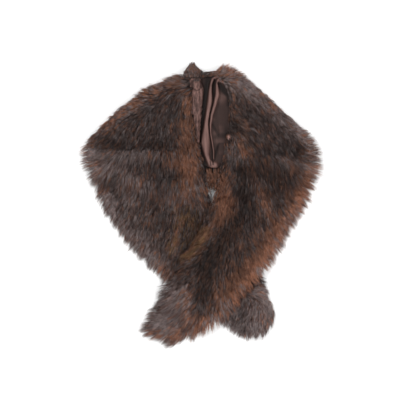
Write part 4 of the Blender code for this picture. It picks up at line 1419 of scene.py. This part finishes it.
def fur_tree():
    """Hairs on a bed: each is a slim spindle that rises from its root, lies along the lay and leans
    towards the middle of its lock."""
    t, given, result = new_tree("fur", (
        ("Geometry", "Geometry", None),
        ("Hairs per Area", "Float", 600000.0),
        ("Length", "Float", 0.028),
        ("Width", "Float", 0.001),
        ("Rise", "Float", 0.009),
        ("Lock Size", "Float", 0.007),
        ("Lock Pull", "Float", 0.8),
        ("Uneven", "Float", 0.45),
        ("Stray", "Float", 0.5),
        ("Lowest", "Float", 0.0006),
        ("Seed", "Int", 0),
        ("Material", "Material", None),
    ))
    # Each hair is a spindle: a point at its root, a ring of three and a point at its tip.
    spindle = t.add("GeometryNodeMeshUVSphere", {"Segments": 3, "Rings": 2, "Radius": 1.0}).outputs["Mesh"]
    position = t.add("GeometryNodeInputPosition").outputs[0]
    spindle = t.stored(spindle, "shape", position, "FLOAT_VECTOR")
    hairs = t.add("GeometryNodeInstanceOnPoints", {"Points": fur_roots(t, given), "Instance": spindle})
    real = t.add("GeometryNodeRealizeInstances", {"Geometry": hairs.outputs[0]}).outputs[0]

    shape = t.parts(t.named("shape", "FLOAT_VECTOR"))
    along = t.math("MULTIPLY_ADD", shape[2], 0.5, 0.5)
    hair, lock = t.named("hair", "INT"), t.named("lock", "INT")
    place = hair_place(t, given, hair, lock, shape, along)
    bent = t.add("GeometryNodeSetPosition", {"Geometry": real, "Position": place}).outputs[0]
    charted = t.stored(bent, CHART, hair_chart(t, hair, lock, shape, along), "FLOAT2", "CORNER")
    smooth = t.add("GeometryNodeSetShadeSmooth", {"Geometry": charted}).outputs[0]
    finished = t.add("GeometryNodeSetMaterial", {"Geometry": smooth, "Material": given["Material"]})
    t.put(result, finished.outputs[0])
    return t.tree


def grown(bed, name, tree, values):
    """The bed's hair as one plain mesh, and the bed removed."""
    modifier = bed.modifiers.new("fur", "NODES")
    modifier.node_group = tree
    for item in tree.interface.items_tree:
        if item.in_out == "INPUT" and item.name in values:
            modifier[item.identifier] = values[item.name]
    evaluated = bed.evaluated_get(bpy.context.evaluated_depsgraph_get())
    mesh = bpy.data.meshes.new_from_object(evaluated)
    for attribute in TEMPORARY:
        if attribute in mesh.attributes:
            mesh.attributes.remove(mesh.attributes[attribute])
    mesh.materials.clear()
    mesh.materials.append(values["Material"])
    mesh.polygons.foreach_set("material_index", [0] * len(mesh.polygons))
    mesh.name = name
    bpy.data.objects.remove(bed)
    return new_piece(name, mesh)


WHITE = (1.0, 1.0, 1.0)


def colour(value, strength=1.0):
    """A colour made lighter or darker, with its alpha."""
    return (value[0] * strength, value[1] * strength, value[2] * strength, 1.0)


def new_material(name, roughness):
    """A new material, a builder for its nodes, and its shader."""
    material = bpy.data.materials.new(name)
    material.use_nodes = True
    shader = material.node_tree.nodes["Principled BSDF"]
    shader.inputs["Roughness"].default_value = roughness
    return material, NodeTree(material.node_tree), shader


def hair_material(settings):
    """Hair coloured by its chart: dark, rust, grey and gold kinds across, and brightness up. The grey hairs
    also stand for painted sheen, and the brightness holds painted shade and highlights.
    """
    material, t, shader = new_material("long_hair", 0.5)
    shader.inputs["Specular IOR Level"].default_value = 0.3
    across_chart, up_chart, _ = t.parts(t.add("ShaderNodeUVMap", uv_map=CHART).outputs[0])
    columns = [(place, colour(getattr(settings, kind))) for kind, place in KINDS.items()]
    kinds = t.tones(across_chart, *columns)
    light = t.tones(up_chart, *((place, colour(WHITE, strength)) for place, strength in BRIGHTNESS))
    tone = t.add("ShaderNodeMix", {0: 1.0, 6: kinds, 7: light}, data_type="RGBA", blend_type="MULTIPLY")
    tone.clamp_result = True
    t.put(shader.inputs["Base Color"], tone.outputs[2])
    return material


def hide_material(settings):
    """The dense underfur, seen between the long hairs. Its dark brown is its own colour and also painted
    shade, deep between the hairs.
    """
    material, t, shader = new_material("underfur", 0.9)
    where = t.add("ShaderNodeTexCoord").outputs["Object"]
    fine = t.add("ShaderNodeTexNoise", {"Vector": where, "Scale": 900.0, "Detail": 3.0}).outputs["Fac"]
    tones = t.tones(fine, (0.3, colour(settings.underfur, 0.5)), (0.7, colour(settings.underfur, 1.4)))
    t.put(shader.inputs["Base Color"], tones)
    bump = t.add("ShaderNodeBump", {"Strength": 0.6, "Distance": 0.001, "Height": fine})
    t.put(shader.inputs["Normal"], bump.outputs[0])
    return material


def satin_material(settings):
    """Satin with its fine weave, darker where the "shade" attribute says that it lies in a fold."""
    material, t, shader = new_material("lining_satin", 0.42)
    shader.inputs["Specular IOR Level"].default_value = 0.09
    where = t.add("ShaderNodeTexCoord").outputs["Object"]
    shade = t.add("ShaderNodeAttribute", attribute_name="shade").outputs["Fac"]
    tones = t.tones(shade, *((place, colour(settings.satin, strength)) for place, strength in SATIN_SHADES))
    slub = t.add("ShaderNodeTexNoise", {"Vector": t.vector("MULTIPLY", where, (900.0, 90.0, 900.0)),
                                        "Scale": 1.0, "Detail": 2.0}).outputs["Fac"]
    t.put(shader.inputs["Base Color"], t.scaled(tones, t.plus(0.85, slub, 0.30)))
    t.put(shader.inputs["Roughness"], t.plus(0.32, slub, 0.20))
    weave = t.add("ShaderNodeTexWave", {"Vector": where, "Scale": 900.0, "Distortion": 0.6},
                  bands_direction="X").outputs["Fac"]
    bump = t.add("ShaderNodeBump", {"Strength": 0.15, "Distance": 0.0003, "Height": weave})
    t.put(shader.inputs["Normal"], bump.outputs[0])
    return material


def thread_material(name, low, high):
    """Sewing thread, twisted."""
    material, t, shader = new_material(name, 0.7)
    where = t.add("ShaderNodeTexCoord").outputs["Object"]
    twist = t.add("ShaderNodeTexWave", {"Vector": where, "Scale": 1400.0}, bands_direction="DIAGONAL")
    tones = t.tones(twist.outputs["Fac"], (0.0, colour(low)), (1.0, colour(high)))
    t.put(shader.inputs["Base Color"], tones)
    return material


def floor_material():
    """A plain pale floor."""
    material, t, shader = new_material("floor", 0.9)
    where = t.add("ShaderNodeTexCoord").outputs["Object"]
    grain = t.add("ShaderNodeTexNoise", {"Vector": where, "Scale": 40.0})
    tones = t.tones(grain.outputs["Fac"], *zip((0.0, 1.0), (colour(WHITE, tone) for tone in FLOOR_TONES)))
    t.put(shader.inputs["Base Color"], tones)
    return material


class WrapSettings(PropertyGroup):
    """The sizes and colours of the wrap."""

    hair_length: FloatProperty(
        name="Hair length", description="Length of the longest hairs", default=0.034, subtype="DISTANCE"
    )
    hair_width: FloatProperty(
        name="Hair width", description="Width of a hair's thickest part", default=0.0008, subtype="DISTANCE"
    )
    hair_rise: FloatProperty(
        name="Hair rise", description="How high the hair stands over the skin", default=0.008,
        subtype="DISTANCE",
    )
    lock_size: FloatProperty(
        name="Lock size", description="Distance between the locks of hair", default=0.0042,
        subtype="DISTANCE",
    )
    lock_pull: FloatProperty(
        name="Lock pull", description="How far the tips lean to the middle of their lock", default=0.4,
        subtype="FACTOR",
    )
    stray: FloatProperty(
        name="Stray", description="How far the hairs turn from their lay", default=0.4, subtype="ANGLE"
    )
    hairs_per_area: FloatProperty(
        name="Hairs per area", description="Hairs on a square metre of pelt", default=560000.0
    )
    most_hairs: IntProperty(name="Most hairs", description="Most hairs on one pelt", default=32000)
    dark: FloatVectorProperty(
        name="Dark hair", description="Colour of the dark hairs", default=(0.046, 0.028, 0.025),
        subtype="COLOR",
    )
    rust: FloatVectorProperty(
        name="Rust hair", description="Colour of the rust hairs", default=(0.150, 0.062, 0.034),
        subtype="COLOR",
    )
    # Grey hairs are also painted sheen, where dark hairs would catch the light.
    grey: FloatVectorProperty(
        name="Grey hair", description="Colour of the grey hairs", default=(0.105, 0.086, 0.086),
        subtype="COLOR",
    )
    gold: FloatVectorProperty(
        name="Gold hair", description="Colour of the gold hairs", default=(0.118, 0.060, 0.026),
        subtype="COLOR",
    )
    # The underfur's dark colour is also painted shade, deep between the hairs.
    underfur: FloatVectorProperty(
        name="Underfur", description="Colour of the dense underfur", default=(0.030, 0.018, 0.015),
        subtype="COLOR",
    )
    satin: FloatVectorProperty(
        name="Satin", description="Colour of the satin", default=(0.200, 0.112, 0.097), subtype="COLOR"
    )


def settings_of(context):
    return context.scene.fur_wrap


def finish_piece(piece, slot, *nodes):
    """Every piece rides on the one body and stands for its frame nodes. Its slot is not used."""
    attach(piece, BODY)
    if nodes:
        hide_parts(*nodes)


class WRAP_OT_add_stage(Operator):
    """Add the floor, the lights and the camera"""

    bl_idname = "fur_wrap.add_stage"
    bl_label = "Stage"

    def execute(self, context):
        scene = context.scene
        work = bmesh.new()
        bmesh.ops.create_grid(work, x_segments=1, y_segments=1, size=FLOOR_HALF)
        mesh = bpy.data.meshes.new("floor")
        work.to_mesh(mesh)
        work.free()
        mesh.materials.append(floor_material())
        new_piece("floor", mesh)
        for soft in LIGHTS:
            light = bpy.data.lights.new(soft.name, "AREA")
            light.energy = soft.power
            light.size = soft.size
            lamp = new_piece(soft.name, light)
            lamp.location = soft.at
            lamp.rotation_euler = (-Vector(soft.at)).to_track_quat("-Z", "Y").to_euler()
        scene.world = bpy.data.worlds.new("studio")
        scene.world.use_nodes = True
        background = scene.world.node_tree.nodes["Background"]
        background.inputs["Color"].default_value = (1.0, 1.0, 1.0, 1.0)
        background.inputs["Strength"].default_value = WORLD_LIGHT
        scene.view_settings.view_transform = "Standard"
        lens = bpy.data.cameras.new("camera")
        lens.sensor_width = SENSOR_WIDTH
        lens.lens = SENSOR_WIDTH * (CAMERA_AT[2] - VIEW_HEIGHT) / VIEW_WIDTH
        scene.camera = new_piece("camera", lens)
        scene.camera.location = CAMERA_AT
        return {"FINISHED"}


def grow_fur(context, name, rows, faces_up=True, **changes):
    """Hair on a surface given by rows of spots. The changes are other values of the tree's inputs."""
    settings = settings_of(context)
    values = {
        "Length": settings.hair_length,
        "Width": settings.hair_width,
        "Rise": settings.hair_rise,
        "Lock Size": settings.lock_size,
        "Lock Pull": settings.lock_pull,
        "Stray": settings.stray,
        "Material": bpy.data.materials["long_hair"],
        "Dense": 1.0,
    }
    values.update(PATCHES.get(name, {}))
    values.update(changes)
    bed = hair_bed(name + "_bed", rows, faces_up)
    hairs = settings.hairs_per_area * values["Dense"]
    values["Hairs per Area"] = min(hairs, settings.most_hairs / covered_area(bed))
    return grown(bed, name + "_fur", bpy.data.node_groups["fur"], values)


def sewn_hide(name, rings):
    """A skin with its underfur, and satin on its skin side."""
    hide = closed_loft(name + "_hide", [(skin, [spot.point for spot in fur]) for skin, fur in rings])
    hide.data.materials.append(bpy.data.materials["underfur"])
    hide.data.materials.append(bpy.data.materials["lining_satin"])
    return hide


class WRAP_OT_add_finishes(Operator):
    """Make the finishes of the hair, the underfur and the satin, and the tree that grows the hair"""

    bl_idname = "fur_wrap.add_finishes"
    bl_label = "Finishes"

    def execute(self, context):
        settings = settings_of(context)
        hair_material(settings)
        hide_material(settings)
        satin_material(settings)
        thread_material("thread", (0.003, 0.003, 0.003), (0.010, 0.008, 0.008))
        thread_material("thread_ends", (0.26, 0.13, 0.11), (0.55, 0.32, 0.27))
        fur_tree()
        return {"FINISHED"}


class WRAP_OT_add_pelts(Operator):
    """Add the pelts: each a skin with its underfur, and the long hair on it"""

    bl_idname = "fur_wrap.add_pelts"
    bl_label = "Pelts"

    def execute(self, context):
        settings = settings_of(context)
        for number, pelt in enumerate(PELTS, 1):
            rings = pelt_rings(pelt)
            rows = [fur for _, fur in rings]
            hide = sewn_hide(pelt.name, rings)
            down = pelt.side == "back"
            rise = settings.hair_rise * (BACK_RISE if down else 1.0)
            furs = [grow_fur(context, pelt.name, rows, not down, Seed=number, Rise=rise)]
            if down:
                furs.append(grow_fur(context, "back_hem", turn_spots(HEM_TURN, "turn")))
                furs.append(grow_fur(context, "back_neck", turn_spots(NECK_TURN, "neck")))
            finish_piece(hide, "fur", pelt.name + "_pelt")
            for fur in furs:
                finish_piece(fur, "fur")
        return {"FINISHED"}


def patch_spot(point, side):
    """A spot of a small patch, where only its side tells how the hair looks."""
    return Spot(point, 0.0, 1.0, 1.0, side, 1.0)


def turn_spots(turn, side):
    """The fur side of a turned-up edge of the back."""
    rows = []
    for row in turn:
        left = Vector((row.left_x, row.left_y, row.height))
        right = Vector((row.right_x, row.right_y, row.height))
        shares = [i / TURN_STATIONS for i in range(TURN_STATIONS + 1)]
        rows.append([patch_spot(left.lerp(right, share), side) for share in shares])
    return rows


def thread_spots():
    """The patch that the thread ends stand on."""
    x, y, z = THREAD_ENDS
    step_x, step_y = THREAD_STEPS
    return [[patch_spot(Vector((x + step_x * i, y + step_y * j, z)), "thread") for i in range(-2, 3)]
            for j in range(-1, 2)]


def corner_ring(place):
    """The skin side and the fur side of the collar corner at one of its rows, from right to left."""
    row = between(CORNER_ROWS, place)
    right, left = Vector((row.right_x, row.right_y)), Vector((row.left_x, row.left_y))
    skin, fur = [], []
    for share in CORNER_SHARES:
        point = right.lerp(left, CORNER_INSET + (1 - 2 * CORNER_INSET) * share)
        droop = CORNER_DROOP * min(row.under / CORNER_DROOP_UNDER, 1.0) * ramp(share, *CORNER_DROOP_SHARES)
        foot = Vector((point.x, point.y, row.under - droop))
        rounded = math.sqrt(max(0.0, 1 - (2 * share - 1) ** 4))
        wall = row.wall * (CORNER_EDGE_WALL + (1 - CORNER_EDGE_WALL) * rounded)
        skin.append(foot)
        fur.append(patch_spot(foot + UP * wall, "corner"))
    return skin, fur


class WRAP_OT_add_lining(Operator):
    """Add the back's satin lining, with its long folds"""

    bl_idname = "fur_wrap.add_lining"
    bl_label = "Lining"

    def execute(self, context):
        grid = lining_grid()
        lining = satin_sheet("back_satin", grid, bpy.data.materials["lining_satin"], LINING_WALL)
        finish_piece(lining, "satin", "back_lining")
        return {"FINISHED"}


class WRAP_OT_add_facing(Operator):
    """Add the crumpled satin strip on the left neck edge"""

    bl_idname = "fur_wrap.add_facing"
    bl_label = "Neck facing"

    def execute(self, context):
        grid = []
        last = len(FACING_ROWS) - 1
        for place in places(0, last, FACING_STEPS):
            entry = between(FACING_ROWS, place)
            grid.append([facing_spot(entry.row, entry.width, j / FACING_STATIONS)
                         for j in range(FACING_STATIONS + 1)])
        facing = satin_sheet("neck_satin", grid, bpy.data.materials["lining_satin"], FACING_WALL)
        finish_piece(facing, "satin", "left_neck_facing")
        return {"FINISHED"}


class WRAP_OT_add_corner(Operator):
    """Add the pointed collar corner, with its short nap"""

    bl_idname = "fur_wrap.add_corner"
    bl_label = "Collar corner"

    def execute(self, context):
        rings = [corner_ring(place) for place in places(0, len(CORNER_ROWS) - 1, CORNER_STEPS)]
        hide = sewn_hide("corner", rings)
        fur = grow_fur(context, "corner", [fur for _, fur in rings])
        finish_piece(hide, "short_fur", "collar_corner")
        finish_piece(fur, "short_fur")
        return {"FINISHED"}


def stitch_tree():
    """Short bars of thread in a row, each a few strands side by side."""
    t, given, result = new_tree("stitches", (
        ("Geometry", "Geometry", None),
        ("Bars", "Int", 4),
        ("Strands", "Int", 3),
        ("Step", "Vector", (0.0033, 0.0002, 0.0)),
        ("Strand Step", "Vector", (0.0006, 0.0, 0.0)),
        ("Length", "Float", 0.0060),
        ("Thickness", "Float", 0.0011),
        ("Turn", "Float", 0.5),
        ("Seed", "Int", 5),
        ("Material", "Material", None),
    ))
    bar = t.add("GeometryNodeMeshUVSphere", {"Segments": 6, "Rings": 5, "Radius": 0.5}).outputs["Mesh"]
    size = t.joined(given["Thickness"], given["Length"], given["Thickness"])
    shaped = t.add("GeometryNodeTransform", {"Geometry": bar, "Scale": size}).outputs[0]
    strands = t.add("GeometryNodeMeshLine", {"Count": given["Strands"], "Offset": given["Strand Step"]})
    tack = t.add("GeometryNodeInstanceOnPoints", {"Points": strands.outputs[0], "Instance": shaped})
    row = t.add("GeometryNodeMeshLine", {"Count": given["Bars"], "Offset": given["Step"]})
    chance = t.chance(t.add("GeometryNodeInputIndex").outputs[0], given["Seed"])
    turn = t.joined(0.0, 0.0, t.math("MULTIPLY", t.to_sides(chance), given["Turn"]))
    bars = t.add("GeometryNodeInstanceOnPoints",
                 {"Points": row.outputs[0], "Instance": tack.outputs[0], "Rotation": turn})
    real = t.add("GeometryNodeRealizeInstances", {"Geometry": bars.outputs[0]}).outputs[0]
    smooth = t.add("GeometryNodeSetShadeSmooth", {"Geometry": real}).outputs[0]
    finished = t.add("GeometryNodeSetMaterial", {"Geometry": smooth, "Material": given["Material"]})
    t.put(result, finished.outputs[0])
    return t.tree


class WRAP_OT_add_stitches(Operator):
    """Add the dark bars of thread under the collar corner, and the thread ends on the right neck edge"""

    bl_idname = "fur_wrap.add_stitches"
    bl_label = "Stitches"

    def execute(self, context):
        bed = new_piece("stitch_bed", bpy.data.meshes.new("stitch_bed"))
        bars = grown(bed, "corner_stitches", stitch_tree(), {"Material": bpy.data.materials["thread"]})
        for vertex in bars.data.vertices:
            vertex.co += Vector(STITCH_START)
        finish_piece(bars, "satin")
        ends = grow_fur(context, "thread_ends", thread_spots(), Material=bpy.data.materials["thread_ends"])
        finish_piece(ends, "satin")
        return {"FINISHED"}


class WRAP_PT_panel(Panel):
    """Lists the wrap's settings and its pieces"""

    bl_label = "Fur collar wrap"
    bl_idname = "WRAP_PT_panel"
    bl_space_type = "VIEW_3D"
    bl_region_type = "UI"
    bl_category = "Fur wrap"

    def draw(self, context):
        settings = settings_of(context)
        for name in WrapSettings.__annotations__:
            self.layout.prop(settings, name)
        for step in STEPS:
            self.layout.operator(step.bl_idname)


STEPS = (
    WRAP_OT_add_stage,
    WRAP_OT_add_finishes,
    WRAP_OT_add_pelts,
    WRAP_OT_add_lining,
    WRAP_OT_add_facing,
    WRAP_OT_add_corner,
    WRAP_OT_add_stitches,
)
CLASSES = (WrapSettings, *STEPS, WRAP_PT_panel)


def register():
    for cls in CLASSES:
        bpy.utils.register_class(cls)
    bpy.types.Scene.fur_wrap = PointerProperty(type=WrapSettings)


def unregister():
    del bpy.types.Scene.fur_wrap
    for cls in reversed(CLASSES):
        bpy.utils.unregister_class(cls)


def main():
    register()
    bpy.ops.fur_wrap.add_stage()
    bpy.ops.fur_wrap.add_finishes()
    bpy.ops.fur_wrap.add_pelts()
    bpy.ops.fur_wrap.add_lining()
    bpy.ops.fur_wrap.add_facing()
    bpy.ops.fur_wrap.add_corner()
    bpy.ops.fur_wrap.add_stitches()


if __name__ == "__main__":
    main()
